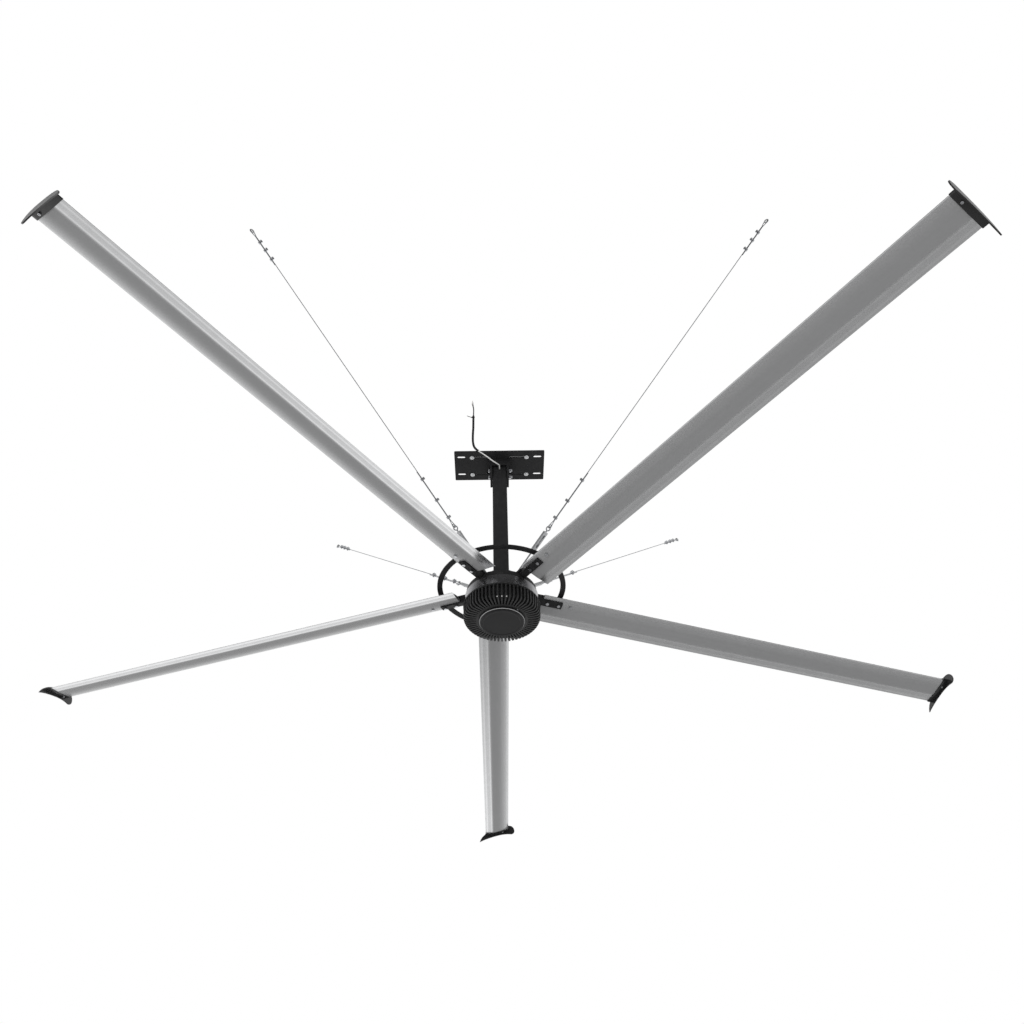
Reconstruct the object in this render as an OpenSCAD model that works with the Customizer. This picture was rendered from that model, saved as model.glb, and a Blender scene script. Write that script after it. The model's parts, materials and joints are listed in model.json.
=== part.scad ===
// High volume low speed ceiling fan: five hollow blades on a direct drive motor,
// hung on a square down tube from a slotted mounting plate and stayed by four guy ropes.
// The origin is the centre of the plate's upper face. The fan hangs below it, +X is along the plate.

/* [Mounting plate] */
// Length of the plate
plate_l = 600; // [560:5:700]
// Width of the plate
plate_w = 258; // [230:2:300]
// Thickness of the plate
plate_t = 12; // [8:1:16]
// Radius of the plate's corners
plate_corner_r = 8; // [2:1:20]
// Distance between the corner slots along the plate
slot_span_l = 508; // [490:2:520]
// Distance between the slot rows across the plate
slot_span_w = 156; // [150:2:176]
// Length of a corner slot, end to end
slot_l = 55; // [30:1:60]
// Width of a corner slot
slot_w = 22; // [9:1:26]
// Distance between the clamp bolts along the plate
clamp_span_l = 364; // [300:2:366]
// Distance between the inner ends of two clamp slots in a row
clamp_slot_inner = 128; // [120:2:200]
// Distance between the outer ends of two clamp slots in a row
clamp_slot_outer = 402; // [396:2:420]
// Diameter of a clamp bolt
clamp_bolt_d = 10; // [10:1:14]
// Height of a clamp bolt's end above the plate
clamp_bolt_rise = 40; // [32:1:100]

/* [Yoke] */
// Thickness of the yoke's base
yoke_base_t = 10; // [6:1:14]
// Thickness of an ear
ear_t = 14; // [6:1:18]
// Depth of the yoke from front to back
yoke_depth = 134; // [120:2:136]
// Length of an ear below the plate
ear_drop = 160; // [134:1:180]
// Cut corner at the foot of an ear
ear_corner = 22; // [6:1:30]
// Thickness of the front and back webs
web_t = 8; // [5:1:12]
// Width of a web at the plate
web_top_w = 172; // [130:2:190]
// Depth of a web below the plate
web_drop = 60; // [40:1:64]
// Diameter of a yoke bolt
yoke_bolt_d = 20; // [14:1:22]
// Drop of the upper yoke bolt below the plate
yoke_bolt_drop_1 = 40; // [38:1:46]
// Drop of the lower yoke bolt below the plate
yoke_bolt_drop_2 = 103; // [100:1:112]

/* [Down tube] */
// Width of the square tube
tube_w = 94; // [80:1:100]
// Wall of the tube
tube_wall = 5; // [3:0.5:8]
// Radius of the tube's outer corners
tube_corner_r = 8; // [6:1:10]
// Radius of the tube's inner corners
tube_inner_r = 3; // [1:0.5:4]
// Clearance between the tube and an ear
tube_fit = 0.5; // [0.2:0.1:1]
// Gap between the tube's top and the yoke's base
tube_top_gap = 8; // [4:1:12]
// Distance from the plate down to the top of the motor
hub_drop = 1093; // [700:1:2400]
// Thickness of the tube's foot flange
foot_t = 12; // [8:1:16]
// Radius of the foot flange
foot_r = 112; // [108:1:114]
// Radius of the bolt circle in the foot flange
foot_bolt_circle_r = 66; // [64:1:68]
// Diameter of a foot bolt
foot_bolt_d = 10; // [8:1:12]

/* [Motor] */
// Radius of the top cover
cover_r = 208; // [204:1:211]
// Height of the top cover
cover_h = 41; // [39:1:50]
// Thickness of the top cover's plate
cover_plate_t = 12; // [10:1:12]
// Radius of the bright rotor ring
ring_band_r = 216; // [210:1:216]
// Height of the bright rotor ring
band_h = 68; // [56:1:80]
// Radius of the finned housing
body_r = 224; // [220:1:228]
// Height of the finned housing
body_h = 101; // [94:1:120]
// Radius of the rounded lower edge of the housing
body_corner_r = 26; // [22:1:40]
// Radius of the lip at the top of the housing
lip_r = 226; // [222:1:230]
// Height of the lip
lip_h = 8; // [4:1:12]
// Number of cooling fins
fin_count = 60; // [48:2:96]
// Thickness of a cooling fin
fin_t = 9; // [3:0.5:12]
// Depth of the grooves between the fins
fin_depth = 20; // [8:1:20]
// Radius at which the fins start on the underside
fin_start_r = 150; // [146:1:154]
// Wall of the housing behind the fins
body_wall = 12; // [8:1:13]
// Radius of the cap under the motor
cap_r = 133; // [120:1:136]
// Height of the cap
cap_h = 22; // [16:1:30]
// Radius of the shallow recess in the cap
cap_recess_r = 108; // [90:1:112]
// Radius of the shaft in the upper bearing
shaft_upper_r = 40; // [36:1:42]
// Radius of the shaft in the lower bearing
shaft_lower_r = 35; // [32:1:36]
// Radius of the cable bore through the shaft
shaft_bore_r = 18; // [12:1:22]
// Radius of the stator
stator_r = 176; // [174:1:178]
// Height of the stator core
core_h = 54; // [40:1:54]
// Number of stator teeth
tooth_count = 24; // [18:3:24]
// Width of a stator tooth
tooth_w = 22; // [16:1:22]
// Running gap between the stator and the magnets
air_gap = 1.5; // [1:0.1:1.8]
// Thickness of a magnet
magnet_t = 6; // [4:0.5:7]
// Number of magnets
magnet_count = 28; // [20:2:32]
// Number of balls in a bearing
ball_count = 12; // [8:1:14]

/* [Blades] */
// Number of blades
blade_count = 5; // [5:1:5]
// Radius at which a blade starts
blade_root_r = 259; // [252:1:280]
// Radius at which a blade ends, inside its winglet
blade_end_r = 3077; // [1500:10:3600]
// Chord of a blade
chord = 195; // [170:1:230]
// Distance from the leading edge back to the blade's axis
nose_back = 46; // [42:1:52]
// Pitch of the blades
pitch = 15; // [8:0.5:16]
// Height lost by a blade from root to end
cone_drop = 60; // [0:1:120]
// Height of the upper skin above the chord line
blade_roof = 20; // [16:1:22]
// Depth of the lower skin below the chord line
blade_floor = 8.5; // [7:0.5:10]
// Wall of the blade
blade_wall = 3; // [2:0.5:3.5]
// Thickness of the trailing edge
edge_t = 2; // [1:0.5:3]

/* [Winglets] */
// Width of the sleeve over the blade's end
sleeve_w = 29; // [26:1:70]
// Wall of the sleeve
sleeve_wall = 4; // [3:0.5:6]
// Thickness of the fin plate
winglet_t = 6; // [4:0.5:10]
// Reach of the fin plate in front of the leading edge
winglet_front = 48; // [20:1:60]
// Reach of the fin plate behind the trailing edge
winglet_back = 61; // [20:1:80]
// Depth of the fin plate below the chord line
winglet_below = 46; // [30:1:60]
// Height of the fin plate above the chord line
winglet_above = 37; // [30:1:50]

/* [Blade arms] */
// Width of a fork's bars
bar_w = 44; // [36:1:48]
// Thickness of a fork's bars
bar_t = 10; // [8:1:12]
// Radius at which the lower bar ends
lower_bar_end_r = 380; // [370:1:420]
// Radius at which the upper bar ends
upper_bar_end_r = 458; // [450:1:500]
// Width of the pad on the motor
pad_w = 64; // [50:1:70]
// Thickness of the pad
pad_t = 12; // [8:1:12]
// Diameter of a blade bolt
blade_bolt_d = 12; // [8:1:12]
// Diameter of a pad bolt
pad_bolt_d = 12; // [8:1:12]

/* [Safety ring] */
// Radius of the ring's centre line
safety_r = 367; // [364:1:372]
// Width of the ring
safety_w = 31; // [26:1:36]
// Thickness of the ring
safety_t = 10; // [6:1:14]
// Height of the ring's underside above the motor's top
safety_rise = 30; // [28:1:40]
// Diameter of a ring screw
safety_screw_d = 8; // [6:1:8]

/* [Guy ropes] */
// Radius of the lug pins around the tube
lug_pin_r = 100; // [98:1:102]
// Height of the lug pins above the foot flange
lug_pin_rise = 31; // [30:1:36]
// Thickness of a lug
lug_t = 10; // [6:1:12]
// Diameter of a lug pin
lug_pin_d = 10; // [8:1:12]
// Distance from a lug pin to the turnbuckle body
buckle_start = 200; // [120:1:240]
// Length of a turnbuckle body
buckle_l = 130; // [110:1:150]
// Width of a turnbuckle body
buckle_w = 26; // [26:1:34]
// Diameter of the turnbuckle screws
buckle_screw_d = 10; // [8:1:12]
// Diameter of a guy rope
rope_d = 5; // [4:0.5:5]
// Inner radius of a thimble
thimble_r = 9; // [9:0.5:10]
// Width of a thimble
thimble_w = 8; // [6:0.5:10]

/* [Power lead] */
// Diameter of the power lead
lead_d = 8; // [8:0.5:12]
// Diameter of the dark sleeve on the lead
lead_sleeve_d = 15; // [13:0.5:18]
// Diameter of one bare core
core_d = 4; // [3:0.5:4]
// Drop of the lead's hole below the plate
lead_hole_drop = 78; // [72:1:80]

/* [Fits] */
// Radial clearance of a bolt in a plain hole
hole_fit = 0.5; // [0.3:0.1:1]
// Radial clearance of a screw in its thread
thread_fit = 0.05; // [0.02:0.01:0.1]
// Radial clearance of a running fit
running_fit = 0.05; // [0.02:0.01:0.1]
// Gap between faces that lie against each other
seat_gap = 0.3; // [0.1:0.1:0.5]

/* [Hidden] */

// Smoothness of round shapes
$fn = 48;
// Overrun of every cutting shape past the face that it cuts
over = 1;

// Proportions of a hexagon fastener, as shares of its thread diameter
flats_share = 1.5;
head_share = 0.65;
nut_share = 0.8;
washer_r_share = 1.5;
washer_t_share = 0.25;
socket_r_share = 0.78;
socket_h_share = 0.9;
corner_share = 1 / cos(30);

// Heights of the static parts, measured from the plate's upper face
shaft_flange_t = 10;
shaft_flange_r = 75;
hub_gap = 2;
z_under = -plate_t;
z_yoke_base = z_under - yoke_base_t;
z_ear_foot = z_under - ear_drop;
z_tube_top = z_yoke_base - tube_top_gap;
z_bolt_1 = z_under - yoke_bolt_drop_1;
z_bolt_2 = z_under - yoke_bolt_drop_2;
z_lead_hole = z_under - lead_hole_drop;
z_hub_top = z_under - hub_drop;
z_shaft_top = z_hub_top + hub_gap + shaft_flange_t;
z_foot_top = z_shaft_top + foot_t;
z_lug_pin = z_foot_top + lug_pin_rise;

// Heights of the rotor
blade_drop = 5;
z_cover_bottom = z_hub_top - cover_h;
z_ring_bottom = z_cover_bottom - band_h;
z_lip_bottom = z_ring_bottom - lip_h;
z_body_bottom = z_ring_bottom - body_h;
z_cap_bottom = z_body_bottom - cap_h;
z_blade_root = z_hub_top - blade_drop;
z_safety = z_hub_top + safety_rise;
z_core_mid = z_cover_bottom - band_h / 2;

// Yoke
ear_in_x = tube_w / 2 + tube_fit;
ear_out_x = ear_in_x + ear_t;
bolt_tail = 8;
thread_ease = 0.1;

// Lead hole and grommet
grommet_wall = 3;
grommet_lip_w = 3;
grommet_lip_t = 2;
lead_hole_r = lead_d / 2 + grommet_wall;

// Foot flange, lugs and shaft
foot_bore_r = 22;
foot_bolt_count = 8;
lug_half = 11;
lug_seat = foot_t / 2;
shaft_body_r = 46;
shaft_end_r = 31;
shaft_nut_r = 44;
shaft_nut_t = 14;
shaft_tail = 4;
carrier_r = 120;
carrier_h = 40;
carrier_hole_r = 20;
carrier_hole_count = 6;
carrier_hole_ring_r = (shaft_body_r + carrier_r) / 2;

// Bearings, as shares of the space between bore and outside
race_w = 26;
race_span = 30;
ball_share = 0.3;
land_share = 0.17;
cover_shoulder = 2.5;
z_race_top = z_hub_top - cover_shoulder * 2;
z_race_bottom = z_race_top - race_w;
z_low_race_bottom = z_body_bottom + body_wall + fin_depth + race_span / 2;
z_low_race_top = z_low_race_bottom + race_w;
z_shaft_end = z_low_race_bottom - shaft_nut_t - shaft_tail;

// Stator and rotor
core_back_r = 136;
core_tip_r = 168;
shoe_extra = 12;
coil_t = 5;
coil_end_t = 11;
coil_in_r = 140;
coil_out_r = 166;
magnet_in_r = stator_r + air_gap;
magnet_out_r = magnet_in_r + magnet_t;
magnet_share = 0.9;
ring_bore_r = magnet_out_r + running_fit;
boss_r = shaft_upper_r + race_span + body_wall;
low_boss_r = shaft_lower_r + race_span + body_wall;
screw_d = 8;
screw_count = 10;
screw_circle_r = (ring_bore_r + body_r - fin_depth) / 2;
screw_bite = 24;
screw_half_step = 14;

// Housing and cap
housing_bore_r = 55;
pocket_corner = 24;
cover_bevel = 4;
cap_recess_t = 1.5;
cap_bevel_w = 10;
cap_bevel_h = 13;
cap_spigot_h = 4;
cap_screw_d = 6;
lens_r = 3.6;
lens_t = 4;
lens_proud = 1;
lens_boss_r = 6;
lens_step = 7;
lens_azimuth = 270;
cap_screw_azimuth = 310;
arc_steps = 6;

// Blades: the upper skin follows the classical aerofoil thickness curve
curve_shares = [0.2969, -0.126, -0.3516, 0.2843, -0.1036];
curve_peak_share = 0.1;
nose_share = 0.12;
crease_share = 0.62;
cell_shares = [[0.07, 0.3], [0.33, 0.6], [0.63, 0.86]];
skin_steps = 14;
nose_steps = 5;
cell_steps = 6;
first_azimuth = 18;
blade_run = blade_end_r - blade_root_r;
cone = atan(cone_drop / blade_run);
blade_l = blade_run / cos(cone);

// Arms, with radii turned into distances along the blade from its root
pad_in_r = 122;
pad_out_r = 226;
arm_gap = 3;
arm_block_l = 40;
lower_bar_end = lower_bar_end_r - blade_root_r;
upper_bar_end = upper_bar_end_r - blade_root_r;
safety_at = safety_r - blade_root_r;
seat_l = 42;
seat_rise = 60;
block_start = cover_r + arm_gap - blade_root_r;
lower_bar_top = -blade_floor - seat_gap;
upper_bar_bottom = blade_roof + seat_gap;
seat_y = (upper_bar_bottom + bar_t / 2) * sin(pitch);
seat_w = bar_w * cos(pitch);
blade_bolts_at = [27, 98, 178];
pad_bolts_at = [[142, 0], [184, -18], [184, 18]];
pad_bolt_l = 22;
ring_screw_side = 14;
ring_screw_l = 22;
tip_screw_d = 8;
tip_screw_l = 10;
tip_screw_share = 0.27;

// Winglet outline, in shares of the chord along it
crest_share = 0.15;
top_pull_share = 1.1;
tail_pull_share = 1.02;
belly_share = 0.5;
belly_pull_share = 0.18;
chin_share = -0.08;
front_tip_drop = 12;
back_tip_drop = 42;
belly_drop = 27;
curve_steps = 8;

// Guy ropes: where each ends at the building, and how its ends are finished
guy_ends = [[-1455, -1470, 480], [1590, -1490, 480], [-1320, 1335, 480], [1445, 1305, 480]];
jaw_cheek_t = 6;
jaw_l = 34;
jaw_back = 12;
jaw_h = 22;
jaw_gap = 0.5;
pin_head_t = 3;
pin_head_r = 7;
buckle_end_l = 22;
buckle_side_t = 7;
buckle_h = 18;
screw_reach = 44;
eye_r = 9;
eye_wire_r = 4;
eye_neck = 12;
thimble_wall = 1.5;
eye_loop = [
    [40, -3], [0, -13], [-9, -9], [-13, 0], [-9, 9], [0, 13], [40, 3]
];
near_tail = 388;
far_tail = 245;
near_clips = [60, 183, 333];
far_clips = [80, 137, 202];
strand_z = 3;
clip_wire_r = 3;
clip_side = 5.7;
clip_l = 16;
clip_w = 24;
clip_top = 12;
clip_bottom = 1;
clip_leg_top = 21;
clip_nut_d = 6;

// Power lead, from the tube's hole up past the plate's edge to its bare cores
lead_route = [
    [0, -48, -90], [0, -76, -90], [-8, -94, -96], [-26, -110, -96], [-48, -121, -86],
    [-80, -132, -62], [-103, -136, -43], [-126, -140, -24], [-138, -140, -13]
];
sleeve_route = [
    [-138, -140, -13], [-149, -140, -2], [-165, -139, 25], [-173, -138, 60],
    [-176, -138, 100], [-176, -138, 160], [-174, -138, 220], [-174, -138, 290], [-174, -138, 345]
];
core_route = [[-174, -138, 345], [-174, -138, 420], [-184, -138, 510]];
core_spread = 2.5;
core_cut = 18;
core_count = 3;
inner_lead_route = [
    [0, 0, -1176], [0, 0, -1090], [0, -11, -1020], [0, -22, -950],
    [0, -22, -112], [0, -25, -101], [0, -33, -93], [0, -42, -90], [0, -48, -90]
];
tie_z = 330;
tie_x = -174;
tie_y = -138;
tie_w = 5;
tie_t = 1.5;
tie_head = 7;
tie_tail_l = 34;
tie_tail_tilt = 28;
lead_sides = 10;
rope_sides = 8;

// Generic fasteners

module hex_prism(flats, h) {
    cylinder(h = h, r = flats / 2 * corner_share, $fn = 6);
}

// A bolt with its head below z = 0 and its shank up to l
module hex_bolt(d, l) {
    head_h = d * head_share;
    translate([0, 0, -head_h]) hex_prism(d * flats_share, head_h);
    translate([0, 0, -head_h / 2]) cylinder(h = l + head_h / 2, d = d);
}

module hex_nut(d) {
    nut_h = d * nut_share;
    difference() {
        hex_prism(d * flats_share, nut_h);
        translate([0, 0, -over]) cylinder(h = nut_h + 2 * over, r = d / 2 + thread_fit);
    }
}

module wide_washer(d) {
    washer_t = d * washer_t_share;
    difference() {
        cylinder(h = washer_t, r = d * washer_r_share);
        translate([0, 0, -over]) cylinder(h = washer_t + 2 * over, r = d / 2 + hole_fit);
    }
}

// A socket head screw with its head above z = 0 and its shank down to -l
module socket_screw(d, l) {
    head_h = d * socket_h_share;
    difference() {
        cylinder(h = head_h, r = d * socket_r_share);
        translate([0, 0, head_h / 2]) hex_prism(d * nut_share, head_h);
    }
    translate([0, 0, -l]) cylinder(h = l + head_h / 4, d = d);
}

module tube_ring(r_in, r_out, h) {
    difference() {
        cylinder(h = h, r = r_out);
        translate([0, 0, -over]) cylinder(h = h + 2 * over, r = r_in);
    }
}

// A slot along X, cut up from z = 0
module slot_cut(l, w, h) {
    translate([-(l - w) / 2, -w / 2, 0]) cube([l - w, w, h]);
    for (side = [-1, 1]) translate([side * (l - w) / 2, 0, 0]) cylinder(h = h, d = w);
}

// Round tube along a route, as one closed skin

function unit(v) = v / norm(v);
function heading(p, i) = unit(p[min(i + 1, len(p) - 1)] - p[max(i - 1, 0)]);
function ring_points(p, i, r, sides, ref) =
    let (t = heading(p, i), a = unit(cross(ref, t)), b = cross(t, a))
    [for (k = [0 : sides - 1]) p[i] + r * (cos(360 * k / sides) * a + sin(360 * k / sides) * b)];

module tube_along(p, r, sides, ref) {
    rings = len(p);
    points = [for (i = [0 : rings - 1]) each ring_points(p, i, r, sides, ref)];
    skin = [for (i = [0 : rings - 2], k = [0 : sides - 1])
        let (a = i * sides + k, b = i * sides + (k + 1) % sides)
        each [[a, a + sides, b], [b, a + sides, b + sides]]];
    ends = [
        [for (k = [0 : sides - 1]) k],
        [for (k = [0 : sides - 1]) rings * sides - 1 - k]
    ];
    polyhedron(points = points, faces = concat(ends, skin));
}

// Mounting plate and yoke

module at_plate_corners(span_l, span_w) {
    for (x = [-1, 1], y = [-1, 1]) translate([x * span_l / 2, y * span_w / 2, 0]) children();
}

module mounting_plate() {
    clamp_slot_l = (clamp_slot_outer - clamp_slot_inner) / 2;
    clamp_slot_w = clamp_bolt_d + 2 * hole_fit + seat_gap;
    inset_l = plate_l - 2 * plate_corner_r;
    inset_w = plate_w - 2 * plate_corner_r;
    color([0.16, 0.16, 0.17]) difference() {
        union() {
            translate([-plate_l / 2, -inset_w / 2, z_under]) cube([plate_l, inset_w, plate_t]);
            translate([-inset_l / 2, -plate_w / 2, z_under]) cube([inset_l, plate_w, plate_t]);
            translate([0, 0, z_under])
                at_plate_corners(inset_l, inset_w) cylinder(h = plate_t, r = plate_corner_r);
        }
        translate([0, 0, z_under - over]) {
            at_plate_corners(slot_span_l, slot_span_w) slot_cut(slot_l, slot_w, plate_t + 2 * over);
            at_plate_corners((clamp_slot_outer + clamp_slot_inner) / 2, slot_span_w)
                slot_cut(clamp_slot_l, clamp_slot_w, plate_t + 2 * over);
        }
    }
}

module ear_profile() {
    half = yoke_depth / 2;
    polygon([
        [-half, z_under], [half, z_under], [half, z_ear_foot + ear_corner],
        [half - ear_corner, z_ear_foot], [-half + ear_corner, z_ear_foot],
        [-half, z_ear_foot + ear_corner]
    ]);
}

module web_profile() {
    polygon([
        [-web_top_w / 2, z_under], [web_top_w / 2, z_under],
        [ear_out_x, z_under - web_drop], [-ear_out_x, z_under - web_drop]
    ]);
}

module yoke_bracket() {
    color([0.13, 0.13, 0.14]) difference() {
        union() {
            translate([-ear_out_x, -yoke_depth / 2, z_yoke_base])
                cube([2 * ear_out_x, yoke_depth, yoke_base_t]);
            for (x = [-ear_out_x, ear_in_x])
                translate([x, 0, 0]) rotate([90, 0, 90]) linear_extrude(ear_t) ear_profile();
            for (y = [web_t - yoke_depth / 2, yoke_depth / 2])
                translate([0, y, 0]) rotate([90, 0, 0]) linear_extrude(web_t) web_profile();
        }
        for (z = [z_bolt_1, z_bolt_2])
            translate([-ear_out_x - over, 0, z]) rotate([0, 90, 0])
                cylinder(h = 2 * (ear_out_x + over), r = yoke_bolt_d / 2 + hole_fit);
    }
}

// Above its nut, a clamp bolt's free thread is a little slimmer than the bolt's nominal diameter
module clamp_bolts() {
    washer_t = clamp_bolt_d * washer_t_share;
    held_l = plate_t + 2 * washer_t + clamp_bolt_d * nut_share;
    color([0.75, 0.76, 0.78])
        translate([0, 0, z_under - washer_t])
            at_plate_corners(clamp_span_l, slot_span_w) {
                hex_bolt(clamp_bolt_d, held_l);
                cylinder(h = plate_t + washer_t + clamp_bolt_rise, r = clamp_bolt_d / 2 - thread_ease);
            }
}

module clamp_nuts() {
    washer_t = clamp_bolt_d * washer_t_share;
    color([0.75, 0.76, 0.78]) at_plate_corners(clamp_span_l, slot_span_w) {
        translate([0, 0, z_under - washer_t]) wide_washer(clamp_bolt_d);
        wide_washer(clamp_bolt_d);
        translate([0, 0, washer_t]) hex_nut(clamp_bolt_d);
    }
}

module yoke_bolts() {
    color([0.75, 0.76, 0.78]) for (z = [z_bolt_1, z_bolt_2])
        translate([-ear_out_x, 0, z]) rotate([0, 90, 0])
            hex_bolt(yoke_bolt_d, 2 * ear_out_x + yoke_bolt_d * nut_share + bolt_tail);
}

module yoke_nuts() {
    color([0.75, 0.76, 0.78]) for (z = [z_bolt_1, z_bolt_2])
        translate([ear_out_x, 0, z]) rotate([0, 90, 0]) hex_nut(yoke_bolt_d);
}

// Down tube and its foot

module rounded_square(w, r) {
    square([w, w - 2 * r], center = true);
    square([w - 2 * r, w], center = true);
    for (x = [-1, 1], y = [-1, 1]) translate([x * (w / 2 - r), y * (w / 2 - r)]) circle(r = r);
}

module down_tube() {
    tube_l = z_tube_top - z_foot_top;
    color([0.2, 0.2, 0.21]) difference() {
        translate([0, 0, z_foot_top]) linear_extrude(tube_l) difference() {
            rounded_square(tube_w, tube_corner_r);
            rounded_square(tube_w - 2 * tube_wall, tube_inner_r);
        }
        for (z = [z_bolt_1, z_bolt_2])
            translate([-tube_w / 2 - over, 0, z]) rotate([0, 90, 0])
                cylinder(h = tube_w + 2 * over, r = yoke_bolt_d / 2 + hole_fit);
        translate([0, -tube_w / 2 + tube_wall + over, z_lead_hole]) rotate([90, 0, 0])
            cylinder(h = tube_wall + 2 * over, r = lead_hole_r);
    }
}

module lead_grommet() {
    color([0.05, 0.05, 0.05]) translate([0, -tube_w / 2 - grommet_lip_t, z_lead_hole])
        rotate([-90, 0, 0]) difference() {
            union() {
                cylinder(h = tube_wall + 2 * grommet_lip_t, r = lead_hole_r - running_fit);
                cylinder(h = grommet_lip_t, r = lead_hole_r + grommet_lip_w);
                translate([0, 0, grommet_lip_t + tube_wall])
                    cylinder(h = grommet_lip_t, r = lead_hole_r + grommet_lip_w);
            }
            translate([0, 0, -over])
                cylinder(h = tube_wall + 2 * (grommet_lip_t + over), r = lead_d / 2 + running_fit);
        }
}

module at_foot_bolts() {
    for (i = [0 : foot_bolt_count - 1])
        rotate([0, 0, 360 * (i + 1 / 2) / foot_bolt_count])
            translate([foot_bolt_circle_r, 0, 0]) children();
}

module lug_blank() {
    translate([lug_pin_r - lug_half, -lug_t / 2, z_shaft_top + lug_seat])
        cube([2 * lug_half, lug_t, z_lug_pin - z_shaft_top - lug_seat]);
    translate([lug_pin_r, lug_t / 2, z_lug_pin]) rotate([90, 0, 0]) cylinder(h = lug_t, r = lug_half);
}

module foot_flange() {
    color([0.13, 0.13, 0.14]) difference() {
        union() {
            translate([0, 0, z_shaft_top]) cylinder(h = foot_t, r = foot_r);
            for (i = [0 : 3]) rotate([0, 0, guy_turn(i)]) lug_blank();
        }
        translate([0, 0, z_shaft_top - over]) {
            cylinder(h = foot_t + 2 * over, r = foot_bore_r);
            at_foot_bolts() cylinder(h = foot_t + 2 * over, r = foot_bolt_d / 2 + hole_fit);
        }
        for (i = [0 : 3]) rotate([0, 0, guy_turn(i)])
            translate([lug_pin_r, lug_t / 2 + over, z_lug_pin]) rotate([90, 0, 0])
                cylinder(h = lug_t + 2 * over, r = lug_pin_d / 2 + running_fit);
    }
}

module foot_bolts() {
    color([0.75, 0.76, 0.78]) translate([0, 0, z_foot_top]) at_foot_bolts()
        rotate([180, 0, 0]) hex_bolt(foot_bolt_d, foot_t + shaft_flange_t - over);
}

// Motor: shaft and stator

module motor_shaft() {
    color([0.6, 0.6, 0.62]) difference() {
        union() {
            translate([0, 0, z_hub_top + hub_gap]) cylinder(h = shaft_flange_t, r = shaft_flange_r);
            translate([0, 0, z_race_bottom])
                cylinder(h = z_shaft_top - z_race_bottom - over, r = shaft_upper_r);
            translate([0, 0, z_low_race_top])
                cylinder(h = z_race_bottom - z_low_race_top, r = shaft_body_r);
            translate([0, 0, z_low_race_bottom]) cylinder(h = race_w + over, r = shaft_lower_r);
            translate([0, 0, z_shaft_end])
                cylinder(h = z_low_race_bottom - z_shaft_end + over, r = shaft_end_r);
        }
        translate([0, 0, z_shaft_end - over])
            cylinder(h = z_shaft_top - z_shaft_end + 2 * over, r = shaft_bore_r);
        translate([0, 0, z_hub_top + hub_gap - over])
            at_foot_bolts() cylinder(h = shaft_flange_t + 2 * over, r = foot_bolt_d / 2 + thread_fit);
    }
}

module shaft_nut() {
    color([0.6, 0.6, 0.62]) translate([0, 0, z_low_race_bottom - shaft_nut_t])
        difference() {
            hex_prism(2 * shaft_nut_r, shaft_nut_t);
            translate([0, 0, -over]) cylinder(h = shaft_nut_t + 2 * over, r = shaft_end_r + thread_fit);
        }
}

module stator_carrier() {
    color([0.7, 0.7, 0.72]) translate([0, 0, z_core_mid - carrier_h / 2]) difference() {
        tube_ring(shaft_body_r + running_fit, carrier_r, carrier_h);
        for (i = [0 : carrier_hole_count - 1])
            rotate([0, 0, 360 * i / carrier_hole_count])
                translate([carrier_hole_ring_r, 0, -over])
                    cylinder(h = carrier_h + 2 * over, r = carrier_hole_r);
    }
}

module at_teeth() {
    for (i = [0 : tooth_count - 1]) rotate([0, 0, 360 * i / tooth_count]) children();
}

module stator_core() {
    shoe_w = tooth_w + shoe_extra;
    color([0.45, 0.45, 0.47]) translate([0, 0, z_core_mid - core_h / 2]) intersection() {
        cylinder(h = core_h, r = stator_r);
        union() {
            tube_ring(carrier_r + running_fit, core_back_r, core_h);
            at_teeth() {
                translate([core_back_r - over, -tooth_w / 2, 0])
                    cube([stator_r - core_back_r + over, tooth_w, core_h]);
                translate([core_tip_r, -shoe_w / 2, 0])
                    cube([stator_r - core_tip_r, shoe_w, core_h]);
            }
        }
    }
}

module stator_coils() {
    coil_l = coil_out_r - coil_in_r;
    hole_w = tooth_w + 2 * seat_gap;
    hole_h = core_h + 2 * seat_gap;
    color([0.7, 0.4, 0.2]) at_teeth() translate([coil_in_r, 0, z_core_mid]) difference() {
        translate([0, -hole_w / 2 - coil_t, -hole_h / 2 - coil_end_t])
            cube([coil_l, hole_w + 2 * coil_t, hole_h + 2 * coil_end_t]);
        translate([-over, -hole_w / 2, -hole_h / 2]) cube([coil_l + 2 * over, hole_w, hole_h]);
    }
}

// Bearings: the upper one carries the fan, the lower one steadies it

module race_groove(bore_r) {
    translate([bore_r + race_span / 2, race_w / 2]) circle(r = race_span * ball_share + running_fit);
}

module inner_race(bore_r, z) {
    land_w = race_span / 2 - race_span * land_share;
    translate([0, 0, z]) rotate_extrude() difference() {
        translate([bore_r + running_fit, 0]) square([land_w - running_fit, race_w]);
        race_groove(bore_r);
    }
}

module outer_race(bore_r, z) {
    land_w = race_span / 2 - race_span * land_share;
    translate([0, 0, z]) rotate_extrude() difference() {
        translate([bore_r + race_span - land_w, 0]) square([land_w, race_w]);
        race_groove(bore_r);
    }
}

module race_balls(bore_r, z) {
    for (i = [0 : ball_count - 1]) rotate([0, 0, 360 * i / ball_count])
        translate([bore_r + race_span / 2, 0, z + race_w / 2]) sphere(r = race_span * ball_share);
}

module bearing_inner_rings() {
    color([0.7, 0.7, 0.72]) inner_race(shaft_upper_r, z_race_bottom);
    color([0.7, 0.7, 0.72]) inner_race(shaft_lower_r, z_low_race_bottom);
}

module bearing_outer_rings() {
    color([0.7, 0.7, 0.72]) outer_race(shaft_upper_r, z_race_bottom);
    color([0.7, 0.7, 0.72]) outer_race(shaft_lower_r, z_low_race_bottom);
}

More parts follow.
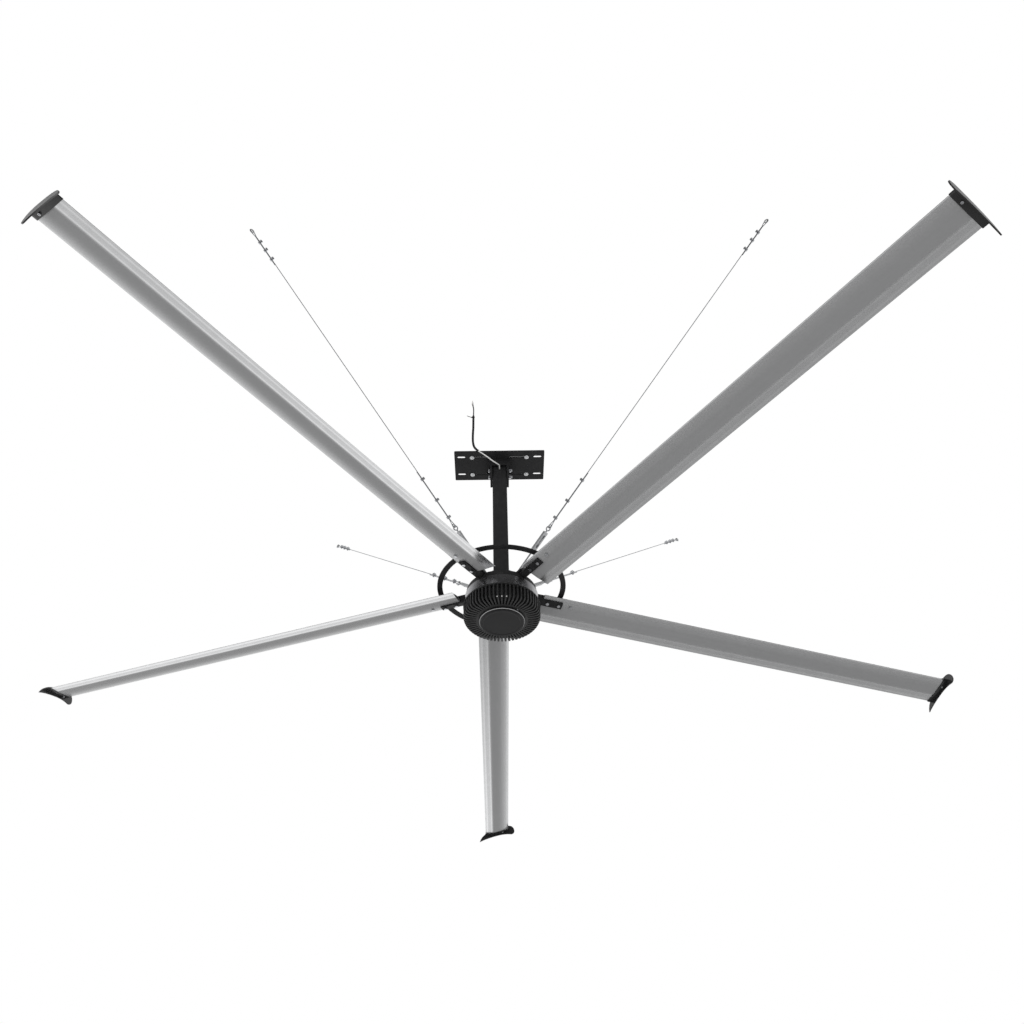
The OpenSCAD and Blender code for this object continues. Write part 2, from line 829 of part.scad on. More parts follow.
module bearing_balls() {
    color([0.8, 0.8, 0.82]) race_balls(shaft_upper_r, z_race_bottom);
    color([0.8, 0.8, 0.82]) race_balls(shaft_lower_r, z_low_race_bottom);
}

// Rotor: cover, ring, magnets, finned housing and cap

module at_housing_screws() {
    for (i = [0 : screw_count / 2 - 1], side = [-1, 1])
        rotate([0, 0, first_azimuth + 180 / blade_count + 720 * i / screw_count + side * screw_half_step])
            translate([screw_circle_r, 0, 0]) children();
}

module at_arms() {
    for (i = [0 : blade_count - 1])
        rotate([0, 0, first_azimuth + 360 * i / blade_count]) children();
}

module top_cover() {
    seal_r = shaft_upper_r + hub_gap;
    seat_r = shaft_upper_r + race_span + running_fit;
    relief_r = shaft_upper_r + race_span / 2 + race_span * land_share;
    z_plate = z_hub_top - cover_plate_t;
    color([0.12, 0.12, 0.13]) difference() {
        rotate_extrude() polygon([
            [seal_r, z_hub_top], [cover_r - cover_bevel, z_hub_top],
            [cover_r, z_hub_top - cover_bevel], [cover_r, z_cover_bottom],
            [ring_bore_r, z_cover_bottom], [ring_bore_r, z_plate], [boss_r, z_plate],
            [boss_r, z_race_bottom], [seat_r, z_race_bottom], [seat_r, z_race_top],
            [relief_r, z_race_top], [relief_r, z_race_top + cover_shoulder],
            [seal_r, z_race_top + cover_shoulder]
        ]);
        translate([0, 0, z_cover_bottom - over])
            at_housing_screws() cylinder(h = cover_h + 2 * over, r = screw_d / 2 + hole_fit);
        translate([0, 0, z_plate - over]) at_arms() for (p = pad_bolts_at)
            translate([p[0], p[1], 0])
                cylinder(h = cover_plate_t + 2 * over, r = pad_bolt_d / 2 + thread_fit);
    }
}

module rotor_ring() {
    color([0.72, 0.73, 0.75]) translate([0, 0, z_ring_bottom]) difference() {
        tube_ring(ring_bore_r, ring_band_r, band_h);
        translate([0, 0, -over])
            at_housing_screws() cylinder(h = band_h + 2 * over, r = screw_d / 2 + hole_fit);
    }
}

module rotor_magnets() {
    step = 360 / magnet_count;
    color([0.35, 0.35, 0.37]) for (i = [0 : magnet_count - 1])
        translate([0, 0, z_core_mid - core_h / 2]) rotate([0, 0, i * step])
            rotate_extrude(angle = step * magnet_share)
                translate([magnet_in_r, 0]) square([magnet_t, core_h]);
}

// Rounded outer edge of the housing, moved inwards by inset
function housing_edge(inset) = [for (i = [0 : arc_steps])
    let (a = 90 * i / arc_steps, r = body_corner_r - inset)
    [body_r - body_corner_r + r * sin(a), z_body_bottom + body_corner_r - r * cos(a)]];

module fin_profile() {
    polygon(concat(
        [[fin_start_r - over, z_body_bottom]], housing_edge(0), [[body_r, z_lip_bottom + over]],
        [[body_r - fin_depth - over, z_lip_bottom + over]],
        [for (i = [arc_steps : -1 : 0]) housing_edge(fin_depth + over)[i]],
        [[fin_start_r - over, z_body_bottom + fin_depth + over]]
    ));
}

module housing_shell() {
    z_floor = z_body_bottom + fin_depth + body_wall;
    seat_r = shaft_lower_r + race_span + running_fit;
    pocket_r = min(ring_bore_r, body_r - fin_depth - body_wall);
    rotate_extrude() polygon(concat(
        [[housing_bore_r, z_body_bottom], [fin_start_r, z_body_bottom]],
        [[fin_start_r, z_body_bottom + fin_depth]],
        housing_edge(fin_depth),
        [[body_r - fin_depth, z_lip_bottom], [lip_r, z_lip_bottom], [lip_r, z_ring_bottom]],
        [[pocket_r, z_ring_bottom], [pocket_r, z_floor + pocket_corner]],
        [[pocket_r - pocket_corner, z_floor], [low_boss_r, z_floor], [low_boss_r, z_low_race_top]],
        [[seat_r, z_low_race_top], [seat_r, z_low_race_bottom], [housing_bore_r, z_low_race_bottom]]
    ));
}

module at_lenses() {
    reach = body_r - body_corner_r + body_corner_r * sin(45);
    rise = z_body_bottom + body_corner_r - body_corner_r * cos(45);
    for (i = [-1 : 1]) rotate([0, 0, lens_azimuth + i * lens_step])
        translate([reach, 0, rise]) rotate([0, 135, 0]) children();
}

module finned_housing() {
    color([0.1, 0.1, 0.11]) difference() {
        union() {
            housing_shell();
            for (i = [0 : fin_count - 1]) rotate([0, 0, 360 * i / fin_count])
                translate([0, fin_t / 2, 0]) rotate([90, 0, 0]) linear_extrude(fin_t) fin_profile();
            at_lenses() translate([0, 0, -fin_depth - over])
                cylinder(h = fin_depth + over, r = lens_boss_r);
        }
        at_lenses() translate([0, 0, lens_proud - lens_t])
            cylinder(h = lens_t + over, r = lens_r + running_fit);
        translate([0, 0, z_ring_bottom - screw_bite])
            at_housing_screws() cylinder(h = screw_bite + over, r = screw_d / 2 + thread_fit);
        at_cap_screw() translate([0, 0, -cap_spigot_h * 3])
            cylinder(h = cap_spigot_h * 4, r = cap_screw_d / 2 + thread_fit);
    }
}

module indicator_lenses() {
    color([0.9, 0.9, 0.85]) at_lenses() translate([0, 0, lens_proud - lens_t])
        cylinder(h = lens_t, r = lens_r);
}

module motor_cap() {
    color([0.12, 0.12, 0.13]) rotate_extrude() polygon([
        [0, z_cap_bottom + cap_recess_t], [cap_recess_r, z_cap_bottom + cap_recess_t],
        [cap_recess_r + cap_recess_t, z_cap_bottom], [cap_r - cap_bevel_w, z_cap_bottom],
        [cap_r, z_cap_bottom + cap_bevel_h], [cap_r, z_body_bottom],
        [housing_bore_r - running_fit, z_body_bottom],
        [housing_bore_r - running_fit, z_body_bottom + cap_spigot_h], [0, z_body_bottom + cap_spigot_h]
    ]);
}

// The single lock screw stands just outside the cap's edge, with its head down
module at_cap_screw() {
    rotate([0, 0, cap_screw_azimuth])
        translate([cap_r + cap_screw_d * socket_r_share + seat_gap, 0, z_body_bottom])
            rotate([180, 0, 0]) children();
}

module housing_screws() {
    color([0.75, 0.76, 0.78]) translate([0, 0, z_hub_top]) at_housing_screws()
        socket_screw(screw_d, cover_h + band_h + screw_bite - over);
    color([0.85, 0.85, 0.87]) at_cap_screw() socket_screw(cap_screw_d, cap_spigot_h * 2);
}

// Blades

// Places children at the root of blade i, +X along the blade and +Y towards its trailing edge
module at_blade(i) {
    rotate([0, 0, first_azimuth + 360 * (i - 1) / blade_count])
        translate([blade_root_r, 0, z_blade_root]) rotate([0, cone, 0]) rotate([-pitch, 0, 0])
            children();
}

function curve_at(s) = (curve_shares[0] * sqrt(s) + curve_shares[1] * s + curve_shares[2] * pow(s, 2)
    + curve_shares[3] * pow(s, 3) + curve_shares[4] * pow(s, 4)) / curve_peak_share;
function step_share(i) = (1 - cos(180 * i / skin_steps)) / 2;
function along(s, grow) = s * (chord + 2 * grow) - nose_back - grow;
function roof_at(s, grow) = (blade_roof + grow) * curve_at(s);
function floor_at(s, grow) = s < nose_share
    ? -(blade_floor + grow) * sqrt(1 - pow(1 - s / nose_share, 2))
    : s < crease_share ? -(blade_floor + grow)
    : -(blade_floor + grow) + (blade_floor - edge_t) * (s - crease_share) / (1 - crease_share);

// Section of a blade, or of a sleeve that stands outside it by grow
module blade_section(grow) {
    polygon(concat(
        [for (i = [skin_steps : -1 : 1]) [along(step_share(i), grow), roof_at(step_share(i), grow)]],
        [for (i = [0 : nose_steps])
            let (s = nose_share * (1 - cos(90 * i / nose_steps)))
            [along(s, grow), floor_at(s, grow)]],
        [[along(crease_share, grow), floor_at(crease_share, grow)]],
        [[along(1, grow), floor_at(1, grow)]]
    ));
}

module blade_cell(from_s, to_s) {
    polygon(concat(
        [[along(from_s, 0), floor_at(from_s, 0) + blade_wall]],
        [[along(to_s, 0), floor_at(to_s, 0) + blade_wall]],
        [for (i = [cell_steps : -1 : 0])
            let (s = from_s + (to_s - from_s) * i / cell_steps)
            [along(s, 0), roof_at(s, 0) - blade_wall]]
    ));
}

module along_blade(from_x, l) {
    translate([from_x, 0, 0]) rotate([90, 0, 90]) linear_extrude(l) children();
}

module bolt_bore(x, y, r) {
    translate([x, y, -seat_rise]) cylinder(h = 2 * seat_rise, r = r);
}

tip_screw_x = blade_l - sleeve_w / 2;
tip_screw_y = along(tip_screw_share, 0);

module blade(i) {
    color([0.5, 0.51, 0.53]) at_blade(i) difference() {
        along_blade(0, blade_l) blade_section(0);
        for (cell = cell_shares) along_blade(-over, blade_l + 2 * over) blade_cell(cell[0], cell[1]);
        for (x = blade_bolts_at) bolt_bore(x, 0, blade_bolt_d / 2 + hole_fit);
        translate([tip_screw_x, tip_screw_y, -blade_floor - over])
            cylinder(h = blade_wall + 2 * over, r = tip_screw_d / 2 + thread_fit);
    }
}

// Winglets

function curve_point(a, b, c, t) = pow(1 - t, 2) * a + 2 * t * (1 - t) * b + t * t * c;
function curve(a, b, c) = [for (i = [1 : curve_steps]) curve_point(a, b, c, i / curve_steps)];

// A blunt nose ahead of the blade, an arched belly and a tail drawn out to a point
module winglet_profile() {
    front = [-nose_back - winglet_front, -front_tip_drop];
    crest = [along(crest_share, 0), winglet_above];
    back = [chord - nose_back + winglet_back, -back_tip_drop];
    belly = [along(belly_share, 0), -belly_drop];
    chin = [along(chin_share, 0), -winglet_below];
    polygon(concat(
        curve(front, [front[0], winglet_above], crest),
        curve(crest, [along(top_pull_share, 0), winglet_above], back),
        curve(back, [along(tail_pull_share, 0), -belly_drop], belly),
        curve(belly, [along(belly_pull_share, 0), -belly_drop], chin),
        curve(chin, [front[0], -winglet_below], front)
    ));
}

module winglet(i) {
    color([0.12, 0.12, 0.13]) at_blade(i) difference() {
        union() {
            along_blade(blade_l - sleeve_w, sleeve_w + winglet_t / 2)
                blade_section(seat_gap + sleeve_wall);
            along_blade(blade_l + seat_gap, winglet_t) winglet_profile();
        }
        along_blade(blade_l - sleeve_w - over, sleeve_w + over + seat_gap) blade_section(seat_gap);
        translate([tip_screw_x, tip_screw_y, -seat_rise])
            cylinder(h = seat_rise, r = tip_screw_d / 2 + hole_fit);
    }
}

// Blade arms: a pad on the motor and a fork whose bars hold the blade's root

module blade_arm(i) {
    upper_t = upper_bar_bottom + bar_t;
    lower_t = lower_bar_top - bar_t;
    azimuth = first_azimuth + 360 * (i - 1) / blade_count;
    color([0.11, 0.11, 0.12]) difference() {
        union() {
            rotate([0, 0, azimuth]) translate([pad_in_r, -pad_w / 2, z_hub_top])
                cube([pad_out_r - pad_in_r, pad_w, pad_t]);
            at_blade(i) {
                translate([block_start, -bar_w / 2, lower_t])
                    cube([arm_block_l, bar_w, upper_t - lower_t]);
                translate([block_start, -bar_w / 2, lower_t])
                    cube([lower_bar_end - block_start, bar_w, bar_t]);
                translate([block_start, -bar_w / 2, upper_bar_bottom])
                    cube([upper_bar_end - block_start, bar_w, bar_t]);
            }
            intersection() {
                at_blade(i) translate([safety_at - seat_l, -bar_w, upper_bar_bottom])
                    cube([2 * seat_l, 2 * bar_w, seat_rise]);
                rotate([0, 0, azimuth])
                    translate([safety_r - seat_l / 2, seat_y - seat_w / 2, z_safety - 2 * seat_rise])
                        cube([seat_l, seat_w, 2 * seat_rise]);
            }
        }
        at_blade(i) for (x = blade_bolts_at) {
            translate([x, 0, -seat_rise]) cylinder(h = seat_rise, r = blade_bolt_d / 2 + hole_fit);
            translate([x, 0, -over]) cylinder(h = upper_t + over, r = blade_bolt_d / 2 + thread_fit);
        }
        rotate([0, 0, azimuth]) {
            for (p = pad_bolts_at) translate([p[0], p[1], z_hub_top - over])
                cylinder(h = pad_t + 2 * over, r = pad_bolt_d / 2 + hole_fit);
            for (side = [-1, 1])
                translate([safety_r, seat_y + side * ring_screw_side, z_safety - ring_screw_l + safety_t])
                    cylinder(h = ring_screw_l, r = safety_screw_d / 2 + thread_fit);
        }
    }
}

module arm_bolts() {
    color([0.7, 0.71, 0.73]) at_arms() {
        for (p = pad_bolts_at) translate([p[0], p[1], z_hub_top + pad_t]) rotate([180, 0, 0])
            hex_bolt(pad_bolt_d, pad_bolt_l);
        for (side = [-1, 1]) translate([safety_r, seat_y + side * ring_screw_side, z_safety + safety_t])
            socket_screw(safety_screw_d, ring_screw_l - over);
    }
}

module blade_bolts() {
    below_bar = lower_bar_top - bar_t;
    top = upper_bar_bottom + bar_t - over;
    sleeve_floor = blade_floor + seat_gap + sleeve_wall;
    color([0.75, 0.76, 0.78]) for (i = [1 : blade_count]) at_blade(i) {
        for (x = blade_bolts_at)
            let (seat = x < lower_bar_end ? below_bar : -blade_floor)
            translate([x, 0, seat]) hex_bolt(blade_bolt_d, top - seat);
        translate([tip_screw_x, tip_screw_y, -sleeve_floor]) rotate([180, 0, 0])
            socket_screw(tip_screw_d, tip_screw_l);
    }
}

module safety_ring() {
    color([0.11, 0.11, 0.12]) difference() {
        translate([0, 0, z_safety])
            tube_ring(safety_r - safety_w / 2, safety_r + safety_w / 2, safety_t);
        at_arms() for (side = [-1, 1])
            translate([safety_r, seat_y + side * ring_screw_side, z_safety - over])
                cylinder(h = safety_t + 2 * over, r = safety_screw_d / 2 + hole_fit);
    }
}

// Guy ropes and their fittings, each in a frame with +X along the rope from its lug pin

function guy_turn(i) = atan2(guy_ends[i][1], guy_ends[i][0]);
function guy_foot(i) = [lug_pin_r * cos(guy_turn(i)), lug_pin_r * sin(guy_turn(i)), z_lug_pin];
function guy_line(i) = guy_ends[i] - guy_foot(i);
function guy_rise(i) = asin(guy_line(i)[2] / norm(guy_line(i)));

module at_guy(i) {
    translate(guy_foot(i)) rotate([0, -guy_rise(i), guy_turn(i)]) children();
}

buckle_end = buckle_start + buckle_l;
eye_x = buckle_end + eye_neck + eye_r + eye_wire_r;
thimble_x = eye_x + eye_r + thimble_r - seat_gap;

module across(x, z, l, r) {
    translate([x, l / 2, z]) rotate([90, 0, 0]) cylinder(h = l, r = r);
}

module lug_pins() {
    jaw_w = lug_t + 2 * (jaw_gap + jaw_cheek_t);
    color([0.75, 0.76, 0.78]) for (i = [0 : 3]) at_guy(i) {
        across(0, 0, jaw_w + 2 * pin_head_t, lug_pin_d / 2);
        for (y = [-jaw_w / 2 - pin_head_t, jaw_w / 2]) translate([0, y + pin_head_t, 0])
            rotate([90, 0, 0]) cylinder(h = pin_head_t, r = pin_head_r);
    }
}

module turnbuckle_screws() {
    jaw_w = lug_t + 2 * (jaw_gap + jaw_cheek_t);
    slot_w = lug_t + 2 * jaw_gap;
    rod_end = buckle_start + screw_reach;
    color([0.75, 0.76, 0.78]) for (i = [0 : 3]) at_guy(i) {
        difference() {
            translate([-jaw_back, -jaw_w / 2, -jaw_h / 2]) cube([jaw_back + jaw_l, jaw_w, jaw_h]);
            translate([-jaw_back - over, -slot_w / 2, -jaw_h / 2 - over])
                cube([jaw_back + over + jaw_l - jaw_back, slot_w, jaw_h + 2 * over]);
            across(0, 0, jaw_w + 2 * over, lug_pin_d / 2 + running_fit);
        }
        translate([jaw_l - over, 0, 0]) rotate([0, 90, 0])
            cylinder(h = rod_end - jaw_l + over, d = buckle_screw_d);
        translate([buckle_end - screw_reach, 0, 0]) rotate([0, 90, 0])
            cylinder(h = screw_reach + eye_neck + over, d = buckle_screw_d);
        translate([eye_x, 0, 0]) rotate_extrude() translate([eye_r + eye_wire_r, 0]) circle(r = eye_wire_r);
    }
}

module turnbuckle(i) {
    color([0.7, 0.71, 0.73]) at_guy(i - 1) translate([buckle_start, 0, 0]) difference() {
        translate([0, -buckle_w / 2, -buckle_h / 2]) cube([buckle_l, buckle_w, buckle_h]);
        translate([buckle_end_l, buckle_side_t - buckle_w / 2, -buckle_h / 2 - over])
            cube([buckle_l - 2 * buckle_end_l, buckle_w - 2 * buckle_side_t, buckle_h + 2 * over]);
        translate([-over, 0, 0]) rotate([0, 90, 0])
            cylinder(h = buckle_l + 2 * over, r = buckle_screw_d / 2 + running_fit);
    }
}

function rope_route(i) =
    let (far_x = norm(guy_line(i)))
    [for (p = concat(
        [[thimble_x + near_tail, -strand_z]],
        [for (q = eye_loop) [thimble_x + q[0], q[1]]],
        [for (k = [len(eye_loop) - 1 : -1 : 0]) [far_x - eye_loop[k][0], eye_loop[k][1]]],
        [[far_x - far_tail, -strand_z]]
    )) [p[0], 0, p[1]]];

module guy_rope(i) {
    color([0.72, 0.73, 0.75]) at_guy(i - 1)
        tube_along(rope_route(i - 1), rope_d / 2, rope_sides, [0, 1, 0]);
}

module rope_thimble() {
    groove_r = thimble_r + thimble_wall + rope_d / 2;
    rotate([90, 0, 0]) rotate_extrude() difference() {
        translate([thimble_r, -thimble_w / 2]) square([groove_r - thimble_r, thimble_w]);
        translate([groove_r, 0]) circle(r = rope_d / 2 + running_fit);
    }
}

module rope_thimbles() {
    color([0.7, 0.71, 0.73]) for (i = [0 : 3]) at_guy(i)
        for (x = [thimble_x, norm(guy_line(i))]) translate([x, 0, 0]) rope_thimble();
}

module rope_clip() {
    difference() {
        translate([-clip_l / 2, -clip_w / 2, clip_bottom]) cube([clip_l, clip_w, clip_top - clip_bottom]);
        translate([-clip_l, 0, strand_z]) rotate([0, 90, 0])
            cylinder(h = 2 * clip_l, r = rope_d / 2 + seat_gap);
        for (side = [-1, 1]) translate([0, side * clip_side, 0])
            cylinder(h = clip_leg_top, r = clip_wire_r + thread_fit);
    }
    for (side = [-1, 1]) {
        translate([0, side * clip_side, -strand_z]) cylinder(h = clip_leg_top, r = clip_wire_r);
        translate([0, side * clip_side, clip_top]) hex_nut(clip_nut_d);
    }
    translate([0, 0, -strand_z]) rotate([90, 0, 90]) rotate([0, 0, 180])
        rotate_extrude(angle = 180) translate([clip_side, 0]) circle(r = clip_wire_r);
}

module rope_clips() {
    color([0.75, 0.76, 0.78]) for (i = [0 : 3]) at_guy(i) {
        for (x = near_clips) translate([thimble_x + x, 0, 0]) rope_clip();
        for (x = far_clips) translate([norm(guy_line(i)) - x, 0, 0]) rope_clip();
    }
}

// Power lead

module motor_lead() {
    color([0.8, 0.8, 0.78]) tube_along(inner_lead_route, lead_d / 2, lead_sides, [1, 0, 0]);
}

module power_lead() {
    color([0.8, 0.8, 0.78]) tube_along(lead_route, lead_d / 2, lead_sides, [1, 0, 0]);
}

module lead_sleeve() {
    color([0.12, 0.12, 0.12]) tube_along(sleeve_route, lead_sleeve_d / 2, lead_sides, [0, 1, 0]);
}

module lead_cores() {
    color([0.3, 0.3, 0.32]) for (k = [0 : core_count - 1])
        let (a = 360 * k / core_count, last = len(core_route) - 1)
        translate([core_spread * cos(a), core_spread * sin(a), 0]) tube_along(
            [for (i = [0 : last]) core_route[i] - (i == last ? [0, 0, k * core_cut] : [0, 0, 0])],
            core_d / 2, rope_sides, [0, 1, 0]);
}

module cable_tie() {
    tie_r = lead_sleeve_d / 2 + seat_gap;
    color([0.1, 0.1, 0.1]) translate([tie_x, tie_y, tie_z]) {
        tube_ring(tie_r, tie_r + tie_t, tie_w);
        translate([-tie_r - tie_head, -tie_head / 2, 0]) cube([tie_head, tie_head, tie_w]);
        translate([-tie_r - tie_head + over, 0, tie_w / 2]) rotate([0, -tie_tail_tilt, 180])
            translate([0, -tie_w / 2, -tie_t / 2]) cube([tie_tail_l, tie_w, tie_t]);
    }
}

mounting_plate();
yoke_bracket();
clamp_bolts();
clamp_nuts();
yoke_bolts();
yoke_nuts();
down_tube();
lead_grommet();
foot_flange();
foot_bolts();
motor_shaft();
shaft_nut();
stator_carrier();
stator_core();
stator_coils();
bearing_inner_rings();
motor_lead();
lug_pins();
turnbuckle_screws();
guy_rope(1);  // guy_rope_1
guy_rope(2);  // guy_rope_2
guy_rope(3);  // guy_rope_3
guy_rope(4);  // guy_rope_4
rope_thimbles();
rope_clips();
power_lead();
lead_sleeve();
lead_cores();
cable_tie();
turnbuckle(1);  // turnbuckle_1
turnbuckle(2);  // turnbuckle_2
turnbuckle(3);  // turnbuckle_3
turnbuckle(4);  // turnbuckle_4
bearing_balls();
top_cover();
rotor_ring();
rotor_magnets();
finned_housing();
motor_cap();
housing_screws();
bearing_outer_rings();
indicator_lenses();
blade_arm(1);  // blade_arm_1
blade_arm(2);  // blade_arm_2
blade_arm(3);  // blade_arm_3
blade_arm(4);  // blade_arm_4
blade_arm(5);  // blade_arm_5
arm_bolts();
blade_bolts();
safety_ring();
blade(1);  // blade_1
blade(2);  // blade_2
blade(3);  // blade_3
blade(4);  // blade_4
blade(5);  // blade_5
winglet(1);  // winglet_1
winglet(2);  // winglet_2
winglet(3);  // winglet_3
winglet(4);  // winglet_4
winglet(5);  // winglet_5
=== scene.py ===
"""Looks of a large, slow ceiling fan: its finishes, ropes, lead and softened edges.

Sizes are in metres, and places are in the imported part's own frame, whose origin is the centre of
the mounting plate's upper face, with +Z up.
"""

import json
import math

import bmesh
import bpy
from mathutils import Matrix, Vector


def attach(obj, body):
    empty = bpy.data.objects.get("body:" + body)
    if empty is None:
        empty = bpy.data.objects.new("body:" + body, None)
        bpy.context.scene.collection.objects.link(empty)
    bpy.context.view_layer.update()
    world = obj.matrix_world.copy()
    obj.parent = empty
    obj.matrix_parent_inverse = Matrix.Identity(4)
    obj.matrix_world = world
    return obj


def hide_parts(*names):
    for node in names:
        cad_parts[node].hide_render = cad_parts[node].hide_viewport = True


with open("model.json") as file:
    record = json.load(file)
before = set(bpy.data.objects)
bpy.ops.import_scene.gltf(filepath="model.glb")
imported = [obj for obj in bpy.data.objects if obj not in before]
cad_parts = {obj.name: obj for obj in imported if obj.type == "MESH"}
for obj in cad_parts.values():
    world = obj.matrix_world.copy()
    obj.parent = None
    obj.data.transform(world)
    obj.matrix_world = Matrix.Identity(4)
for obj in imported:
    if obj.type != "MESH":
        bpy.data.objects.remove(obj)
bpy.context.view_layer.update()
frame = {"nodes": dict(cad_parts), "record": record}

NODES = frame["nodes"]
SLOT_OF = {part["node"]: part["material_slot"] for part in frame["record"]["subparts"]}
BODY_OF = {node: body for body, nodes in frame["record"]["behaviour"]["bodies"].items() for node in nodes}
UP = Vector((0, 0, 1))

# Camera, at the place that the photograph was taken from

CAMERA_AT = Vector((-0.031, -4.263, -4.556))
CAMERA_YAW = math.radians(0.265)
CAMERA_PITCH = math.radians(42.69)
CAMERA_ROLL = math.radians(-0.514)
CAMERA_LENS = 32.41
CAMERA_SENSOR = 36.0
CAMERA_SHIFT = (0.0191, 0.0203)


def make_camera():
    forward = Vector((
        -math.sin(CAMERA_YAW) * math.cos(CAMERA_PITCH),
        math.cos(CAMERA_YAW) * math.cos(CAMERA_PITCH),
        math.sin(CAMERA_PITCH),
    ))
    level = Vector((math.cos(CAMERA_YAW), math.sin(CAMERA_YAW), 0))
    upright = level.cross(forward)
    right = level * math.cos(CAMERA_ROLL) + upright * math.sin(CAMERA_ROLL)
    top = upright * math.cos(CAMERA_ROLL) - level * math.sin(CAMERA_ROLL)
    data = bpy.data.cameras.new("photo_camera")
    data.lens = CAMERA_LENS
    data.sensor_width = CAMERA_SENSOR
    data.shift_x, data.shift_y = CAMERA_SHIFT
    data.clip_end = 100
    camera = bpy.data.objects.new("photo_camera", data)
    bpy.context.scene.collection.objects.link(camera)
    turn = Matrix((right, top, -forward)).transposed().to_4x4()
    camera.matrix_world = Matrix.Translation(CAMERA_AT) @ turn
    bpy.context.scene.camera = camera


# Shader building


def opaque(colour):
    return (*colour, 1.0)


def add_node(tree, kind, **settings):
    node = tree.nodes.new(kind)
    for name, value in settings.items():
        setattr(node, name, value)
    return node


def join(tree, source, target):
    tree.links.new(source, target)


def effect(name, inputs, outputs):
    """An empty node group with its named inputs and outputs."""
    tree = bpy.data.node_groups.new(name, "ShaderNodeTree")
    for label, kind, value in inputs:
        socket = tree.interface.new_socket(label, in_out="INPUT", socket_type=kind)
        if value is not None:
            socket.default_value = value
    for label, kind in outputs:
        tree.interface.new_socket(label, in_out="OUTPUT", socket_type=kind)
    return tree, tree.nodes.new("NodeGroupInput"), tree.nodes.new("NodeGroupOutput")


def sum_of(tree, source, factor, offset):
    """source times factor plus offset."""
    node = add_node(tree, "ShaderNodeMath", operation="MULTIPLY_ADD")
    join(tree, source, node.inputs[0])
    for socket, value in ((node.inputs[1], factor), (node.inputs[2], offset)):
        if isinstance(value, (int, float)):
            socket.default_value = value
        else:
            join(tree, value, socket)
    return node.outputs[0]


def noise(tree, vector, scale, detail=2.0):
    node = add_node(tree, "ShaderNodeTexNoise")
    node.inputs["Detail"].default_value = detail
    join(tree, vector, node.inputs["Vector"])
    if isinstance(scale, (int, float)):
        node.inputs["Scale"].default_value = scale
    else:
        join(tree, scale, node.inputs["Scale"])
    return node.outputs["Fac"]


def shaded(tree, colour, factor):
    """A colour with its brightness multiplied by a value."""
    node = add_node(tree, "ShaderNodeHueSaturation")
    join(tree, colour, node.inputs["Color"])
    join(tree, factor, node.inputs["Value"])
    return node.outputs["Color"]


def radius_of(tree, parts):
    """The distance from the Z axis, from a point's separate parts."""
    flat = add_node(tree, "ShaderNodeCombineXYZ")
    join(tree, parts.outputs["X"], flat.inputs["X"])
    join(tree, parts.outputs["Y"], flat.inputs["Y"])
    radius = add_node(tree, "ShaderNodeVectorMath", operation="LENGTH")
    join(tree, flat.outputs[0], radius.inputs[0])
    return radius.outputs["Value"]


def grey_ramp(tree, share, steps):
    """Greys along a share from 0 to 1, from pairs of place and value."""
    ramp = add_node(tree, "ShaderNodeValToRGB")
    stops = ramp.color_ramp.elements
    for place, _ in steps[2:]:
        stops.new(place)
    for stop, (place, value) in zip(stops, steps):
        stop.position = place
        stop.color = (value, value, value, 1)
    join(tree, share, ramp.inputs[0])
    return ramp.outputs["Color"]


def make_coat_effect():
    """The fine orange peel, cloudy tone and uneven gloss of a painted or moulded surface."""
    tree, start, end = effect(
        "coat_texture",
        [
            ("Vector", "NodeSocketVector", None),
            ("Colour", "NodeSocketColor", None),
            ("Roughness", "NodeSocketFloat", 0.5),
            ("Grain", "NodeSocketFloat", 400.0),
            ("Cloud", "NodeSocketFloat", 0.15),
        ],
        [("Colour", "NodeSocketColor"), ("Roughness", "NodeSocketFloat"), ("Height", "NodeSocketFloat")],
    )
    clouds = noise(tree, start.outputs["Vector"], 9.0, 4.0)
    centred = sum_of(tree, clouds, 2.0, -1.0)
    tone = sum_of(tree, centred, start.outputs["Cloud"], 1.0)
    join(tree, shaded(tree, start.outputs["Colour"], tone), end.inputs["Colour"])
    patches = noise(tree, start.outputs["Vector"], 35.0, 3.0)
    gloss = sum_of(tree, sum_of(tree, patches, 0.12, -0.06), 1.0, start.outputs["Roughness"])
    join(tree, gloss, end.inputs["Roughness"])
    join(tree, noise(tree, start.outputs["Vector"], start.outputs["Grain"], 2.0), end.inputs["Height"])
    return tree


def make_dust_effect():
    """Dust that settles on what faces up, thicker in some places than in others."""
    tree, start, end = effect(
        "settled_dust",
        [
            ("Vector", "NodeSocketVector", None),
            ("Colour", "NodeSocketColor", None),
            ("Amount", "NodeSocketFloat", 0.2),
        ],
        [("Colour", "NodeSocketColor")],
    )
    geometry = add_node(tree, "ShaderNodeNewGeometry")
    parts = add_node(tree, "ShaderNodeSeparateXYZ")
    join(tree, geometry.outputs["Normal"], parts.inputs[0])
    facing = add_node(tree, "ShaderNodeMath", operation="MAXIMUM")
    join(tree, parts.outputs["Z"], facing.inputs[0])
    patches = noise(tree, start.outputs["Vector"], 22.0, 5.0)
    amount = add_node(tree, "ShaderNodeMath", operation="MULTIPLY")
    join(tree, facing.outputs[0], amount.inputs[0])
    join(tree, sum_of(tree, patches, 2.0, -0.5), amount.inputs[1])
    scaled = add_node(tree, "ShaderNodeMath", operation="MULTIPLY", use_clamp=True)
    join(tree, amount.outputs[0], scaled.inputs[0])
    join(tree, start.outputs["Amount"], scaled.inputs[1])
    blend = add_node(tree, "ShaderNodeMix", data_type="RGBA")
    join(tree, scaled.outputs[0], blend.inputs["Factor"])
    join(tree, start.outputs["Colour"], blend.inputs[6])
    blend.inputs[7].default_value = opaque(DUST_COLOUR)
    join(tree, blend.outputs[2], end.inputs["Colour"])
    return tree


